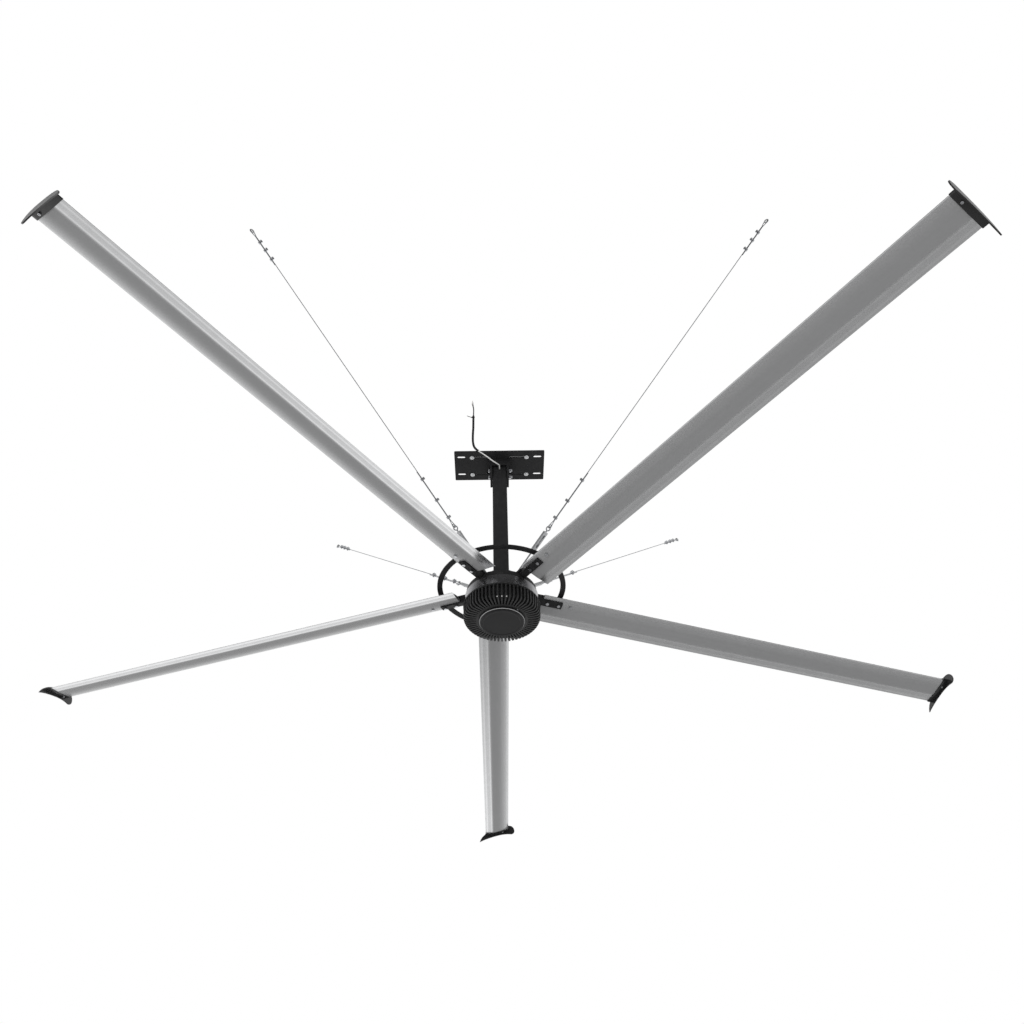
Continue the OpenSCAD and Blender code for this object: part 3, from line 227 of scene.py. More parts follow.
def make_line_effect():
    """Fine parallel lines along the vector's X, as extrusion or drawing leaves them."""
    tree, start, end = effect(
        "drawn_lines",
        [("Vector", "NodeSocketVector", None), ("Fineness", "NodeSocketFloat", 300.0)],
        [("Lines", "NodeSocketFloat"), ("Bands", "NodeSocketFloat")],
    )
    stretch = add_node(tree, "ShaderNodeVectorMath", operation="MULTIPLY")
    join(tree, start.outputs["Vector"], stretch.inputs[0])
    stretch.inputs[1].default_value = LINE_STRETCH
    join(tree, noise(tree, stretch.outputs[0], start.outputs["Fineness"], 3.0), end.inputs["Lines"])
    join(tree, noise(tree, stretch.outputs[0], 45.0, 2.0), end.inputs["Bands"])
    return tree


def make_painted_chord_highlight_effect():
    """Painted highlights across the blade's chord: matt in the middle, painted bright and mirroring
    behind it, standing in for glints of light.
    """
    tree, start, end = effect(
        "painted_chord_highlights",
        [("Vector", "NodeSocketVector", None)],
        [("Painted highlight", "NodeSocketFloat")],
    )
    parts = add_node(tree, "ShaderNodeSeparateXYZ")
    join(tree, start.outputs["Vector"], parts.inputs[0])
    share = add_node(tree, "ShaderNodeMapRange")
    share.inputs["From Min"].default_value = NOSE_Y
    share.inputs["From Max"].default_value = TAIL_Y
    join(tree, parts.outputs["Y"], share.inputs["Value"])
    join(tree, grey_ramp(tree, share.outputs[0], PAINTED_CHORD_HIGHLIGHTS), end.inputs["Painted highlight"])
    return tree


def make_turning_effect():
    """Fine rings round the Z axis, as a lathe leaves them."""
    tree, start, end = effect(
        "lathe_rings",
        [("Vector", "NodeSocketVector", None), ("Fineness", "NodeSocketFloat", 900.0)],
        [("Rings", "NodeSocketFloat")],
    )
    parts = add_node(tree, "ShaderNodeSeparateXYZ")
    join(tree, start.outputs["Vector"], parts.inputs[0])
    place = add_node(tree, "ShaderNodeCombineXYZ")
    join(tree, radius_of(tree, parts), place.inputs["X"])
    join(tree, parts.outputs["Z"], place.inputs["Z"])
    join(tree, noise(tree, place.outputs[0], start.outputs["Fineness"], 2.0), end.inputs["Rings"])
    return tree


def make_painted_rim_highlight_effect():
    """A narrow pale line painted round the Z axis: a painted highlight along a coated edge."""
    tree, start, end = effect(
        "painted_rim_highlight",
        [
            ("Vector", "NodeSocketVector", None),
            ("Coat", "NodeSocketColor", None),
            ("Colour", "NodeSocketColor", None),
        ],
        [("Colour", "NodeSocketColor")],
    )
    parts = add_node(tree, "ShaderNodeSeparateXYZ")
    join(tree, start.outputs["Vector"], parts.inputs[0])
    inside = add_node(tree, "ShaderNodeMath", operation="COMPARE")
    join(tree, radius_of(tree, parts), inside.inputs[0])
    inside.inputs[1].default_value = RIM_HIGHLIGHT_R
    inside.inputs[2].default_value = RIM_HIGHLIGHT_W / 2
    blend = add_node(tree, "ShaderNodeMix", data_type="RGBA")
    join(tree, inside.outputs[0], blend.inputs["Factor"])
    join(tree, start.outputs["Coat"], blend.inputs[6])
    join(tree, start.outputs["Colour"], blend.inputs[7])
    join(tree, blend.outputs[2], end.inputs["Colour"])
    return tree


def make_spangle_effect():
    """The faint crystals of a zinc coat."""
    tree, start, end = effect(
        "zinc_spangle",
        [("Vector", "NodeSocketVector", None), ("Size", "NodeSocketFloat", 160.0)],
        [("Crystals", "NodeSocketFloat")],
    )
    cells = add_node(tree, "ShaderNodeTexVoronoi")
    join(tree, start.outputs["Vector"], cells.inputs["Vector"])
    join(tree, start.outputs["Size"], cells.inputs["Scale"])
    grey = add_node(tree, "ShaderNodeRGBToBW")
    join(tree, cells.outputs["Color"], grey.inputs[0])
    join(tree, grey.outputs[0], end.inputs["Crystals"])
    return tree


# Across a blade, in metres ahead of and behind its bolts
NOSE_Y = -0.046
TAIL_Y = 0.149
# Painted highlights across the chord, from nose (0) to tail (1): how bright the metal is painted; the
# bright strips stand in for glints
PAINTED_CHORD_HIGHLIGHTS = (
    (0.0, 0.35), (0.05, 0.55), (0.12, 0.36), (0.22, 0.18), (0.32, 0.06), (0.44, 0.0), (0.64, 0.0),
    (0.68, 0.15), (0.73, 0.85), (0.77, 0.62), (0.86, 0.62), (0.91, 1.0), (0.96, 0.72), (1.0, 0.95),
)
# Radius and width of the painted highlight along the cap's bevelled rim
RIM_HIGHLIGHT_R = 0.1305
RIM_HIGHLIGHT_W = 0.0022
DUST_COLOUR = (0.22, 0.22, 0.22)
LINE_STRETCH = (0.004, 1.0, 1.0)

COAT = make_coat_effect()
DUST = make_dust_effect()
LINES = make_line_effect()
TURNING = make_turning_effect()
PAINTED_CHORD_HIGHLIGHT = make_painted_chord_highlight_effect()
PAINTED_RIM_HIGHLIGHT = make_painted_rim_highlight_effect()
SPANGLE = make_spangle_effect()


def place_effect(tree, group, vector, **values):
    node = add_node(tree, "ShaderNodeGroup", node_tree=group)
    join(tree, vector, node.inputs["Vector"])
    for name, value in values.items():
        node.inputs[name].default_value = value
    return node


class Surface:
    """A material with a Principled surface, whose patterns lie in Object coordinates."""

    def __init__(self, name, metallic=0.0, gloss=0.5):
        self.material = bpy.data.materials.new(name)
        self.material.use_nodes = True
        self.tree = self.material.node_tree
        self.shader = self.tree.nodes["Principled BSDF"]
        self.shader.inputs["Metallic"].default_value = metallic
        self.shader.inputs["Specular IOR Level"].default_value = gloss
        self.place = add_node(self.tree, "ShaderNodeTexCoord").outputs["Object"]

    def stand_in(self, origin, turn):
        """Lays the patterns out in a frame with its own origin and turn."""
        mapping = add_node(self.tree, "ShaderNodeMapping", vector_type="TEXTURE")
        join(self.tree, self.place, mapping.inputs["Vector"])
        mapping.inputs["Location"].default_value = origin
        mapping.inputs["Rotation"].default_value = turn
        self.place = mapping.outputs[0]

    def paint_highlight(self, mask, dull, bright):
        """Paints highlights on dull metal by a mask, so that only what it mirrors grows with the mask:
        bright strips that stand in for glints.
        """
        mirrored = sum_of(self.tree, mask, bright, 0.0)
        self.painted_highlight_value = sum_of(self.tree, mask, bright - dull, dull)
        share = add_node(self.tree, "ShaderNodeMath", operation="DIVIDE", use_clamp=True)
        join(self.tree, mirrored, share.inputs[0])
        join(self.tree, self.painted_highlight_value, share.inputs[1])
        join(self.tree, share.outputs[0], self.shader.inputs["Metallic"])
        self.colour = shaded(self.tree, self.colour, self.painted_highlight_value)

    def coat(self, colour, roughness, grain, cloud):
        node = place_effect(self.tree, COAT, self.place, Roughness=roughness, Grain=grain, Cloud=cloud)
        node.inputs["Colour"].default_value = opaque(colour)
        join(self.tree, node.outputs["Roughness"], self.shader.inputs["Roughness"])
        self.colour = node.outputs["Colour"]
        self.height = node.outputs["Height"]

    def tone(self, mask, depth):
        """Darkens and lightens the colour by a mask about its middle."""
        factor = sum_of(self.tree, mask, 2 * depth, 1 - depth)
        self.colour = shaded(self.tree, self.colour, factor)

    def dust(self, amount):
        node = place_effect(self.tree, DUST, self.place, Amount=amount)
        join(self.tree, self.colour, node.inputs["Colour"])
        self.colour = node.outputs["Colour"]

    def finish(self, depth, strength=0.4):
        """Joins the colour and the bump, which is depth metres deep."""
        join(self.tree, self.colour, self.shader.inputs["Base Color"])
        bump = add_node(self.tree, "ShaderNodeBump")
        bump.inputs["Strength"].default_value = strength
        bump.inputs["Distance"].default_value = depth
        join(self.tree, self.height, bump.inputs["Height"])
        join(self.tree, bump.outputs[0], self.shader.inputs["Normal"])
        return self.material


# Finishes

BLADE_COUNT = 5
GUY_COUNT = 4
FIRST_AZIMUTH = math.radians(18)
BLACK_COAT = (0.0085, 0.0085, 0.0092)
HOUSING_COAT = (0.0135, 0.0135, 0.0140)
TUBE_COAT = (0.0145, 0.0145, 0.0152)
PLATE_COAT = (0.014, 0.014, 0.0148)
BLADE_ROOT_R = 0.259
BLADE_ROOT_Z = -1.110
BLADE_END_R = 3.077
BLADE_DROP = 0.060
BLADE_CONE = math.atan(BLADE_DROP / (BLADE_END_R - BLADE_ROOT_R))
BLADE_PITCH = math.radians(-15)
ALUMINIUM = (0.985, 0.99, 1.0)
DULL_ALUMINIUM = 0.215
# How bright the blade metal is painted where its painted highlights lie
PAINTED_HIGHLIGHT_ALUMINIUM = 0.88
# The grey of the painted highlight on the cap's rim
RIM_HIGHLIGHT_COLOUR = (0.33, 0.33, 0.33)
ZINC = (0.60, 0.61, 0.63)
BAND_METAL = (0.34, 0.34, 0.35)


def powder_coat(name, colour, dust=0.06, gloss=0.2):
    surface = Surface(name, gloss=gloss)
    surface.coat(colour, roughness=0.55, grain=650.0, cloud=0.06)
    surface.dust(dust)
    return surface.finish(depth=0.0004)


def extruded_aluminium(number):
    azimuth = FIRST_AZIMUTH + math.tau * (number - 1) / BLADE_COUNT
    origin = (BLADE_ROOT_R * math.cos(azimuth), BLADE_ROOT_R * math.sin(azimuth), BLADE_ROOT_Z)
    surface = Surface(f"blade_{number}_extrusion", gloss=0.1)
    surface.stand_in(origin, (BLADE_PITCH, BLADE_CONE, azimuth))
    surface.coat(ALUMINIUM, roughness=0.2, grain=900.0, cloud=0.03)
    # Painted highlights: a ramp across the chord makes the metal bright and mirroring in strips, standing
    # in for glints
    chord = place_effect(surface.tree, PAINTED_CHORD_HIGHLIGHT, surface.place)
    surface.paint_highlight(chord.outputs["Painted highlight"], DULL_ALUMINIUM, PAINTED_HIGHLIGHT_ALUMINIUM)
    lines = place_effect(surface.tree, LINES, surface.place, Fineness=140.0)
    surface.tone(lines.outputs["Lines"], 0.03)
    surface.tone(lines.outputs["Bands"], 0.05)
    surface.height = lines.outputs["Lines"]
    surface.dust(0.2)
    return surface.finish(depth=0.00005, strength=0.1)


def zinc_plate(name, colour=ZINC, roughness=0.3, size=160.0, metallic=1.0):
    surface = Surface(name, metallic=metallic)
    surface.coat(colour, roughness=roughness, grain=1200.0, cloud=0.1)
    crystals = place_effect(surface.tree, SPANGLE, surface.place, Size=size)
    surface.tone(crystals.outputs["Crystals"], 0.12)
    surface.dust(0.15)
    return surface.finish(depth=0.0001, strength=0.2)


def turned_metal(name, colour, roughness, fineness=900.0, depth=0.00012):
    surface = Surface(name, metallic=1.0)
    surface.coat(colour, roughness=roughness, grain=1000.0, cloud=0.04)
    rings = place_effect(surface.tree, TURNING, surface.place, Fineness=fineness)
    surface.tone(rings.outputs["Rings"], 0.08)
    surface.height = rings.outputs["Rings"]
    return surface.finish(depth=depth, strength=0.2)


def moulded_plastic(name, colour, roughness=0.45, grain=1500.0, gloss=0.3, dust=0.2):
    surface = Surface(name, gloss=gloss)
    surface.coat(colour, roughness=roughness, grain=grain, cloud=0.08)
    surface.dust(dust)
    return surface.finish(depth=0.0002)


def cap_coat():
    """The cap's black coat, with a painted highlight along its bevelled rim round the edge."""
    surface = Surface("cap_coat", gloss=0.25)
    surface.coat(BLACK_COAT, roughness=0.45, grain=700.0, cloud=0.15)
    rings = place_effect(surface.tree, TURNING, surface.place, Fineness=500.0)
    surface.tone(rings.outputs["Rings"], 0.2)
    # painted highlight: a pale line along the cap's bevelled rim
    rim = place_effect(surface.tree, PAINTED_RIM_HIGHLIGHT, surface.place)
    rim.inputs["Colour"].default_value = opaque(RIM_HIGHLIGHT_COLOUR)
    join(surface.tree, surface.colour, rim.inputs["Coat"])
    surface.colour = rim.outputs["Colour"]
    return surface.finish(depth=0.0003)


def wire_rope():
    surface = Surface("wire_rope", metallic=1.0)
    surface.coat((0.42, 0.43, 0.45), roughness=0.38, grain=1800.0, cloud=0.2)
    return surface.finish(depth=0.0003, strength=0.5)


def braid():
    """A woven sleeve: two sets of crossing threads in the piece's own UV map."""
    surface = Surface("sleeve_braid", gloss=0.25)
    surface.coat((0.012, 0.012, 0.013), roughness=0.6, grain=900.0, cloud=0.15)
    across = add_node(surface.tree, "ShaderNodeTexCoord").outputs["UV"]
    waves = []
    for lean in (-1, 1):
        turn = add_node(surface.tree, "ShaderNodeMapping")
        turn.inputs["Rotation"].default_value = (0, 0, lean * math.radians(45))
        join(surface.tree, across, turn.inputs["Vector"])
        wave = add_node(surface.tree, "ShaderNodeTexWave")
        wave.inputs["Scale"].default_value = 6.0
        join(surface.tree, turn.outputs[0], wave.inputs["Vector"])
        waves.append(wave.outputs["Fac"])
    weave = add_node(surface.tree, "ShaderNodeMath", operation="MAXIMUM")
    join(surface.tree, waves[0], weave.inputs[0])
    join(surface.tree, waves[1], weave.inputs[1])
    surface.tone(weave.outputs[0], 0.35)
    surface.height = weave.outputs[0]
    return surface.finish(depth=0.0012, strength=0.7)


FINISHES = {
    "bracket": powder_coat("bracket_coat", PLATE_COAT),
    "tube": powder_coat("tube_coat", TUBE_COAT),
    "cover": powder_coat("cover_coat", BLACK_COAT, dust=0.12),
    "housing": powder_coat("housing_coat", HOUSING_COAT, gloss=0.5),
    "arm": powder_coat("arm_coat", BLACK_COAT, dust=0.1),
    "ring": powder_coat("safety_ring_coat", BLACK_COAT, dust=0.12),
    "cap": cap_coat(),
    "bolts": zinc_plate("bolt_zinc"),
    "galvanised": zinc_plate("galvanised_steel", (0.66, 0.67, 0.68), 0.4, 90.0),
    "steel": turned_metal("ground_steel", (0.5, 0.5, 0.52), 0.25),
    "band": turned_metal("turned_band", BAND_METAL, 0.28, 700.0),
    "carrier": turned_metal("cast_carrier", (0.55, 0.55, 0.57), 0.45),
    "laminations": turned_metal("lamination_stack", (0.22, 0.22, 0.24), 0.5, 1500.0, 0.0005),
    "winding": turned_metal("enamelled_wire", (0.5, 0.22, 0.08), 0.3, 600.0, 0.0008),
    "magnet": zinc_plate("magnet_plating", (0.3, 0.3, 0.32), 0.35),
    "grommet": moulded_plastic("grommet_rubber", (0.01, 0.01, 0.01), 0.7),
    # the lead's sheath is painted pale grey: a painted highlight standing in for the light along a black
    # lead
    "lead": moulded_plastic("lead_sheath_painted_highlight", (0.60, 0.60, 0.59), 0.5),
    "cores": moulded_plastic("core_insulation", (0.035, 0.035, 0.04), 0.4),
    "tie": moulded_plastic("tie_nylon", (0.012, 0.012, 0.012), 0.4),
    "lens": moulded_plastic("lens_plastic", (0.42, 0.42, 0.41), 0.2),
    "winglet": moulded_plastic("winglet_moulding", (0.0110, 0.0110, 0.0115), 0.22, gloss=0.5, dust=0.05),
    "rope": wire_rope(),
    "sleeve": braid(),
}
NODE_FINISHES = {f"blade_{n}": extruded_aluminium(n) for n in range(1, BLADE_COUNT + 1)}
DULL_ZINC = zinc_plate("dull_zinc_flake", (0.70, 0.71, 0.72), 0.5, metallic=0.3)
NODE_FINISHES.update({node: DULL_ZINC for node in ("clamp_bolts", "clamp_nuts")})
COPPER = zinc_plate("bare_copper", (0.65, 0.32, 0.18), 0.3)


def finish_of(node):
    return NODE_FINISHES.get(node) or FINISHES[SLOT_OF[node]]


def dress_nodes():
    for name, node in NODES.items():
        node.data.materials.clear()
        node.data.materials.append(finish_of(name))


# Pieces

SMOOTH_ANGLE = math.radians(38)


def add_piece(name, mesh_in_work, material, body, stands_for=()):
    mesh = bpy.data.meshes.new(name)
    mesh_in_work.to_mesh(mesh)
    mesh_in_work.free()
    mesh.polygons.foreach_set("use_smooth", [True] * len(mesh.polygons))
    mesh.set_sharp_from_angle(angle=SMOOTH_ANGLE)
    mesh.materials.append(material)
    piece = bpy.data.objects.new(name, mesh)
    bpy.context.scene.collection.objects.link(piece)
    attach(piece, body)
    if stands_for:
        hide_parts(*stands_for)
    return piece


# Softened edges: each node's own shape, with its sharp edges rounded

MERGE = 0.000002
FLAT = math.radians(0.5)
CORNER = math.radians(32)
EDGE_WIDTHS = {
    "mounting_plate": 0.0010, "yoke_bracket": 0.0015, "clamp_bolts": 0.0010, "clamp_nuts": 0.0008,
    "yoke_bolts": 0.0012, "yoke_nuts": 0.0010, "down_tube": 0.0008, "lead_grommet": 0.0007,
    "foot_flange": 0.0012, "foot_bolts": 0.0008, "top_cover": 0.0010, "rotor_ring": 0.0012,
    "motor_cap": 0.0010, "housing_screws": 0.0005, "arm_bolts": 0.0008, "blade_bolts": 0.0008,
    "safety_ring": 0.0018, "turnbuckle_screws": 0.0005, "lug_pins": 0.0006,
}
FITTING_WIDTHS = {"rope_thimbles": 0.0004, "rope_clips": 0.0005}
TIE_WIDTH = 0.0004
for number in range(1, BLADE_COUNT + 1):
    EDGE_WIDTHS[f"blade_arm_{number}"] = 0.0018
    EDGE_WIDTHS[f"blade_{number}"] = 0.0005
    EDGE_WIDTHS[f"winglet_{number}"] = 0.0020
for number in range(1, GUY_COUNT + 1):
    EDGE_WIDTHS[f"turnbuckle_{number}"] = 0.0020


def softened(node, width, wanted=None):
    work = bmesh.new()
    work.from_mesh(NODES[node].data)
    if wanted:
        unwanted = [vert for vert in work.verts if not wanted(vert.co)]
        bmesh.ops.delete(work, geom=unwanted, context="VERTS")
    bmesh.ops.remove_doubles(work, verts=work.verts, dist=MERGE)
    bmesh.ops.dissolve_limit(work, angle_limit=FLAT, verts=work.verts, edges=work.edges)
    sharp = [e for e in work.edges if len(e.link_faces) == 2 and e.calc_face_angle() > CORNER]
    bmesh.ops.bevel(
        work, geom=sharp, offset=width, offset_type="OFFSET", segments=2, profile=0.5,
        affect="EDGES", clamp_overlap=True, material=-1,
    )
    return work


def soften(node, width, suffix="", wanted=None):
    """A piece that takes a node's place, or the wanted part of it, with its sharp edges rounded."""
    piece = add_piece(
        f"{node}_soft{suffix}", softened(node, width, wanted), finish_of(node), BODY_OF[node],
        [node],
    )
    piece.modifiers.new("flat_faces_stay_flat", "WEIGHTED_NORMAL").keep_sharp = True
    return piece


def same_quarter(place):
    """Whether a point lies in the same quarter of the ceiling as a place does."""
    return lambda point: point.x * place[0] > 0 and point.y * place[1] > 0


# Cords: routes as the solids have them

LEAD_D = 0.008
SLEEVE_D = 0.015
CORE_D = 0.004
LEAD_ROUTE = [
    (0, -0.048, -0.090), (0, -0.076, -0.090), (-0.008, -0.094, -0.096), (-0.026, -0.110, -0.096),
    (-0.048, -0.121, -0.086), (-0.080, -0.132, -0.062), (-0.103, -0.136, -0.043),
    (-0.126, -0.140, -0.024), (-0.138, -0.140, -0.013),
]
SLEEVE_ROUTE = [
    (-0.138, -0.140, -0.013), (-0.149, -0.140, -0.002), (-0.165, -0.139, 0.025),
    (-0.173, -0.138, 0.060), (-0.176, -0.138, 0.100), (-0.176, -0.138, 0.160),
    (-0.174, -0.138, 0.220), (-0.174, -0.138, 0.290), (-0.174, -0.138, 0.345),
]
CORE_ROUTE = [(-0.174, -0.138, 0.345), (-0.174, -0.138, 0.420), (-0.184, -0.138, 0.510)]
CORE_SPREAD = 0.0025
CORE_CUT = 0.018
CORE_COUNT = 3
BARE_TIP = 0.012
BARE_D = 0.0024

GUY_ENDS = [
    (-1.455, -1.470, 0.480), (1.590, -1.490, 0.480),
    (-1.320, 1.335, 0.480), (1.445, 1.305, 0.480),
]
LUG_PIN_R = 0.100
LUG_PIN_Z = -1.050
THIMBLE_X = 0.3727
ROPE_D = 0.005
NEAR_TAIL = 0.388
FAR_TAIL = 0.245
STRAND_Z = 0.003
LOOP_R = 0.013
LOOP_MOUTH = 0.040
LOOP_STEPS = 12
ROPE_LAY = 0.05
ROPE_STRANDS = 6
ROPE_HOLLOW = 0.16
ROPE_STEP = 0.004
SLEEVE_STEP = 0.003
LEAD_STEPS = 6
CORE_STEPS = 10
LEAD_SIDES = 24
SLEEVE_SIDES = 32
CORE_SIDES = 16
TIP_SIDES = 12


def vectors(points):
    return [Vector(point) for point in points]


def resampled(points, step):
    """The same route with points about a step apart along its straight stretches."""
    route = [points[0]]
    for a, b in zip(points, points[1:]):
        count = max(1, round((b - a).length / step))
        route += [a.lerp(b, k / count) for k in range(1, count + 1)]
    return route


def smoothed(points, steps):
    """A smooth curve through the points, with steps spans between each pair."""
    ends = [2 * points[0] - points[1], *points, 2 * points[-1] - points[-2]]
    route = [points[0]]
    for a, b, c, d in zip(ends, ends[1:], ends[2:], ends[3:]):
        for k in range(1, steps + 1):
            t = k / steps
            route.append(0.5 * (2 * b + (c - a) * t + (2 * a - 5 * b + 4 * c - d) * t ** 2
                                + (3 * b - a - 3 * c + d) * t ** 3))
    return route


def swept(route, radius_at, sides, lay=0.0):
    """A closed tube along a route. radius_at(angle) is its section, which turns once in a lay."""
    work = bmesh.new()
    uv = work.loops.layers.uv.new("UVMap")
    tangents = [(route[min(i + 1, len(route) - 1)] - route[max(i - 1, 0)]).normalized()
                for i in range(len(route))]
    side = tangents[0].orthogonal().normalized()
    travelled = 0.0
    rings = []
    marks = []
    for i, (point, tangent) in enumerate(zip(route, tangents)):
        if i:
            side = tangents[i - 1].rotation_difference(tangent) @ side
            travelled += (point - route[i - 1]).length
        twist = math.tau * travelled / lay if lay else 0.0
        other = tangent.cross(side)
        ring = []
        for k in range(sides):
            angle = math.tau * k / sides
            around = angle + twist
            arm = side * math.cos(around) + other * math.sin(around)
            ring.append(work.verts.new(point + arm * radius_at(angle)))
        rings.append(ring)
        marks.append(travelled)
    girth = math.tau * radius_at(0)
    for i, (low, high) in enumerate(zip(rings, rings[1:])):
        for k in range(sides):
            after = (k + 1) % sides
            face = work.faces.new((low[k], low[after], high[after], high[k]))
            corners = ((k, i), (k + 1, i), (k + 1, i + 1), (k, i + 1))
            for loop, (step, row) in zip(face.loops, corners):
                loop[uv].uv = (step / sides, marks[row] / girth)
    work.faces.new(list(reversed(rings[0])))
    work.faces.new(rings[-1])
    bmesh.ops.recalc_face_normals(work, faces=work.faces)
    return work


def guy_place(end):
    """The frame of one guy, with +X along it from its lug pin, and its length."""
    end = Vector(end)
    turn = math.atan2(end.y, end.x)
    foot = Vector((LUG_PIN_R * math.cos(turn), LUG_PIN_R * math.sin(turn), LUG_PIN_Z))
    line = end - foot
    rise = math.asin(line.z / line.length)
    place = Matrix.Translation(foot) @ Matrix.Rotation(turn, 4, "Z") @ Matrix.Rotation(-rise, 4, "Y")
    return place, line.length


def loop_points(centre, sign):
    """The rope's turn round a thimble, which opens towards sign."""
    turn = [math.radians(90) + math.pi * k / LOOP_STEPS for k in range(LOOP_STEPS + 1)]
    points = [(centre + sign * LOOP_R * math.cos(a), -LOOP_R * math.sin(a)) for a in turn]
    mouth = centre + sign * LOOP_MOUTH
    return [(mouth, -STRAND_Z), *points, (mouth, STRAND_Z)]


def rope_section(angle):
    """A ring of strands, a little hollow between each two."""
    return ROPE_D / 2 * (1 - ROPE_HOLLOW + ROPE_HOLLOW * abs(math.cos(ROPE_STRANDS * angle / 2)))


def make_guy_ropes():
    for number, end in enumerate(GUY_ENDS, 1):
        place, length = guy_place(end)
        near = loop_points(THIMBLE_X, 1)
        far = list(reversed(loop_points(length, -1)))
        flat = [(THIMBLE_X + NEAR_TAIL, -STRAND_Z), *near, *far, (length - FAR_TAIL, -STRAND_Z)]
        route = [place @ Vector((x, 0, z)) for x, z in flat]
        work = swept(resampled(route, ROPE_STEP), rope_section, 3 * ROPE_STRANDS, ROPE_LAY)
        node = f"guy_rope_{number}"
        rope = add_piece(f"laid_rope_{number}", work, FINISHES["rope"], BODY_OF[node], [node])
        fittings = [soften(fitting, width, f"_{number}", same_quarter(end))
                    for fitting, width in FITTING_WIDTHS.items()]


def round_section(diameter):
    return lambda angle: diameter / 2


def make_lead():
    whole = vectors(LEAD_ROUTE + SLEEVE_ROUTE[1:])
    path = smoothed(whole, LEAD_STEPS)
    lead = add_piece(
        "sheathed_lead", swept(path, round_section(LEAD_D), LEAD_SIDES), FINISHES["lead"],
        BODY_OF["power_lead"], ["power_lead"],
    )
    sleeve_path = path[LEAD_STEPS * (len(LEAD_ROUTE) - 1):]
    tube = swept(resampled(sleeve_path, SLEEVE_STEP), round_section(SLEEVE_D), SLEEVE_SIDES)
    sleeve = add_piece(
        "braided_sleeve", tube, FINISHES["sleeve"], BODY_OF["lead_sleeve"],
        ["lead_sleeve"],
    )
    tie = soften("cable_tie", TIE_WIDTH)


def make_cores():
    """The lead's cores, each with its insulation cut back from a bare tip."""
    for number in range(CORE_COUNT):
        angle = math.tau * number / CORE_COUNT
        aside = Vector((math.cos(angle), math.sin(angle), 0)) * CORE_SPREAD
        points = [point + aside for point in vectors(CORE_ROUTE)]
        points[-1] = points[-1] - UP * number * CORE_CUT
        route = smoothed(points, CORE_STEPS)
        tip_start = route[-1].lerp(route[-2], BARE_TIP / (route[-1] - route[-2]).length)
        covered = [p for p in route if (p - route[-1]).length > BARE_TIP] + [tip_start]
        core = add_piece(
            f"lead_core_{number + 1}", swept(covered, round_section(CORE_D), CORE_SIDES),
            FINISHES["cores"], BODY_OF["lead_cores"], ["lead_cores"],
        )
        tip = add_piece(
            f"bare_tip_{number + 1}", swept([tip_start, route[-1]], round_section(BARE_D), TIP_SIDES),
            COPPER, BODY_OF["lead_cores"],
        )


# Floor and light

FLOOR_Z = -6.15
FLOOR_SIZE = 40.0
FLOOR_COLOUR = (0.88, 0.88, 0.88)
WHITE = (1, 1, 1, 1)
# The darker side that metal mirrors: its middle, where it fades in, and how dark it gets
DARK_SIDE = Vector((0, -0.75, 0.66))
DARK_FADE = (0.1, 0.6)
DARK_VALUES = (1.08, 0.1)
# Greys that metal mirrors, by the height of the direction it mirrors, from -1 below to 1 above
MIRRORED_SKY = (
    (-1.0, 0.34), (-0.68, 0.36), (-0.58, 0.48), (-0.53, 0.70), (-0.48, 0.90), (-0.42, 1.0), (0.2, 1.0),
    (1.0, 0.8),
)


def make_floor():
    work = bmesh.new()
    bmesh.ops.create_grid(work, x_segments=1, y_segments=1, size=FLOOR_SIZE / 2)
    bmesh.ops.translate(work, verts=work.verts, vec=UP * FLOOR_Z)
    mesh = bpy.data.meshes.new("floor")
    work.to_mesh(mesh)
    work.free()
    floor = bpy.data.objects.new("floor", mesh)
    bpy.context.scene.collection.objects.link(floor)
    material = bpy.data.materials.new("pale_floor")
    material.use_nodes = True
    tree = material.node_tree
    shader = tree.nodes["Principled BSDF"]
    shader.inputs["Base Color"].default_value = opaque(FLOOR_COLOUR)
    shader.inputs["Roughness"].default_value = 0.9
    shader.inputs["Specular IOR Level"].default_value = 0.1
    clear = add_node(tree, "ShaderNodeBsdfTransparent")
    blend = add_node(tree, "ShaderNodeMixShader")
    geometry = add_node(tree, "ShaderNodeNewGeometry")
    paths = add_node(tree, "ShaderNodeLightPath")
    hidden = add_node(tree, "ShaderNodeMath", operation="MAXIMUM")
    join(tree, geometry.outputs["Backfacing"], hidden.inputs[0])
    join(tree, paths.outputs["Is Glossy Ray"], hidden.inputs[1])
    join(tree, hidden.outputs[0], blend.inputs["Fac"])
    join(tree, shader.outputs[0], blend.inputs[1])
    join(tree, clear.outputs[0], blend.inputs[2])
    join(tree, blend.outputs[0], tree.nodes["Material Output"].inputs["Surface"])
    mesh.materials.append(material)


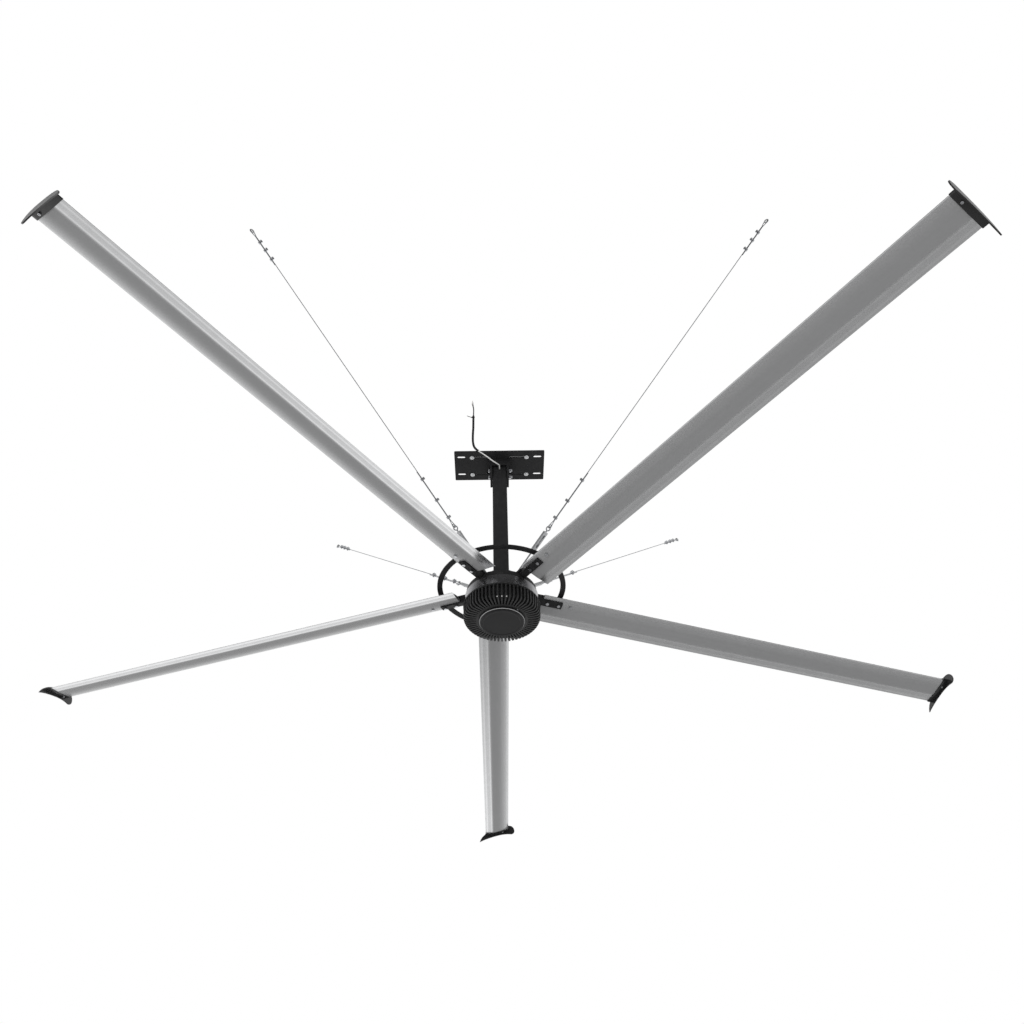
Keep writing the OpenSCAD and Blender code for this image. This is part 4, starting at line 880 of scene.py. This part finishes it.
def make_world():
    """White behind the fan, a plain soft light on it, and a darker side for metal to mirror."""
    world = bpy.data.worlds.new("studio")
    bpy.context.scene.world = world
    world.use_nodes = True
    tree = world.node_tree
    light = tree.nodes["Background"]
    light.inputs["Strength"].default_value = 1.0
    behind = add_node(tree, "ShaderNodeBackground")
    behind.inputs["Color"].default_value = WHITE
    paths = add_node(tree, "ShaderNodeLightPath")
    direction = add_node(tree, "ShaderNodeTexCoord").outputs["Generated"]
    facing = add_node(tree, "ShaderNodeVectorMath", operation="DOT_PRODUCT")
    join(tree, direction, facing.inputs[0])
    facing.inputs[1].default_value = DARK_SIDE
    dark = add_node(tree, "ShaderNodeMapRange")
    dark.inputs["From Min"].default_value = DARK_FADE[0]
    dark.inputs["From Max"].default_value = DARK_FADE[1]
    dark.inputs["To Min"].default_value = DARK_VALUES[0]
    dark.inputs["To Max"].default_value = DARK_VALUES[1]
    join(tree, facing.outputs["Value"], dark.inputs["Value"])
    height = add_node(tree, "ShaderNodeSeparateXYZ")
    join(tree, direction, height.inputs[0])
    share = sum_of(tree, height.outputs["Z"], 0.5, 0.5)
    sky = grey_ramp(tree, share, [((low + 1) / 2, value) for low, value in MIRRORED_SKY])
    mirrored = shaded(tree, sky, dark.outputs[0])
    tone = add_node(tree, "ShaderNodeMix", data_type="RGBA")
    join(tree, paths.outputs["Is Glossy Ray"], tone.inputs["Factor"])
    tone.inputs[6].default_value = WHITE
    join(tree, mirrored, tone.inputs[7])
    join(tree, tone.outputs[2], light.inputs["Color"])
    blend = add_node(tree, "ShaderNodeMixShader")
    join(tree, paths.outputs["Is Camera Ray"], blend.inputs["Fac"])
    join(tree, light.outputs[0], blend.inputs[1])
    join(tree, behind.outputs[0], blend.inputs[2])
    join(tree, blend.outputs[0], tree.nodes["World Output"].inputs["Surface"])


def make_lamp(name, place, aim, size, power):
    data = bpy.data.lights.new(name, "AREA")
    data.size = size
    data.energy = power
    lamp = bpy.data.objects.new(name, data)
    lamp.visible_glossy = False
    bpy.context.scene.collection.objects.link(lamp)
    back = (Vector(place) - Vector(aim)).normalized()
    lamp.matrix_world = Matrix.Translation(place) @ back.to_track_quat("Z", "Y").to_matrix().to_4x4()


def make_lamps():
    make_lamp("soft_top", (-3.0, -4.0, 6.0), (0, 0, -1.0), 6.0, 220.0)
    make_lamp("soft_front", (-5.0, -7.0, -4.0), (0, 0, -1.1), 4.0, 90.0)


make_camera()
dress_nodes()
make_guy_ropes()
make_lead()
make_cores()
for node, width in EDGE_WIDTHS.items():
    soften(node, width)
make_floor()
make_world()
make_lamps()
bpy.context.scene.view_settings.view_transform = "Standard"
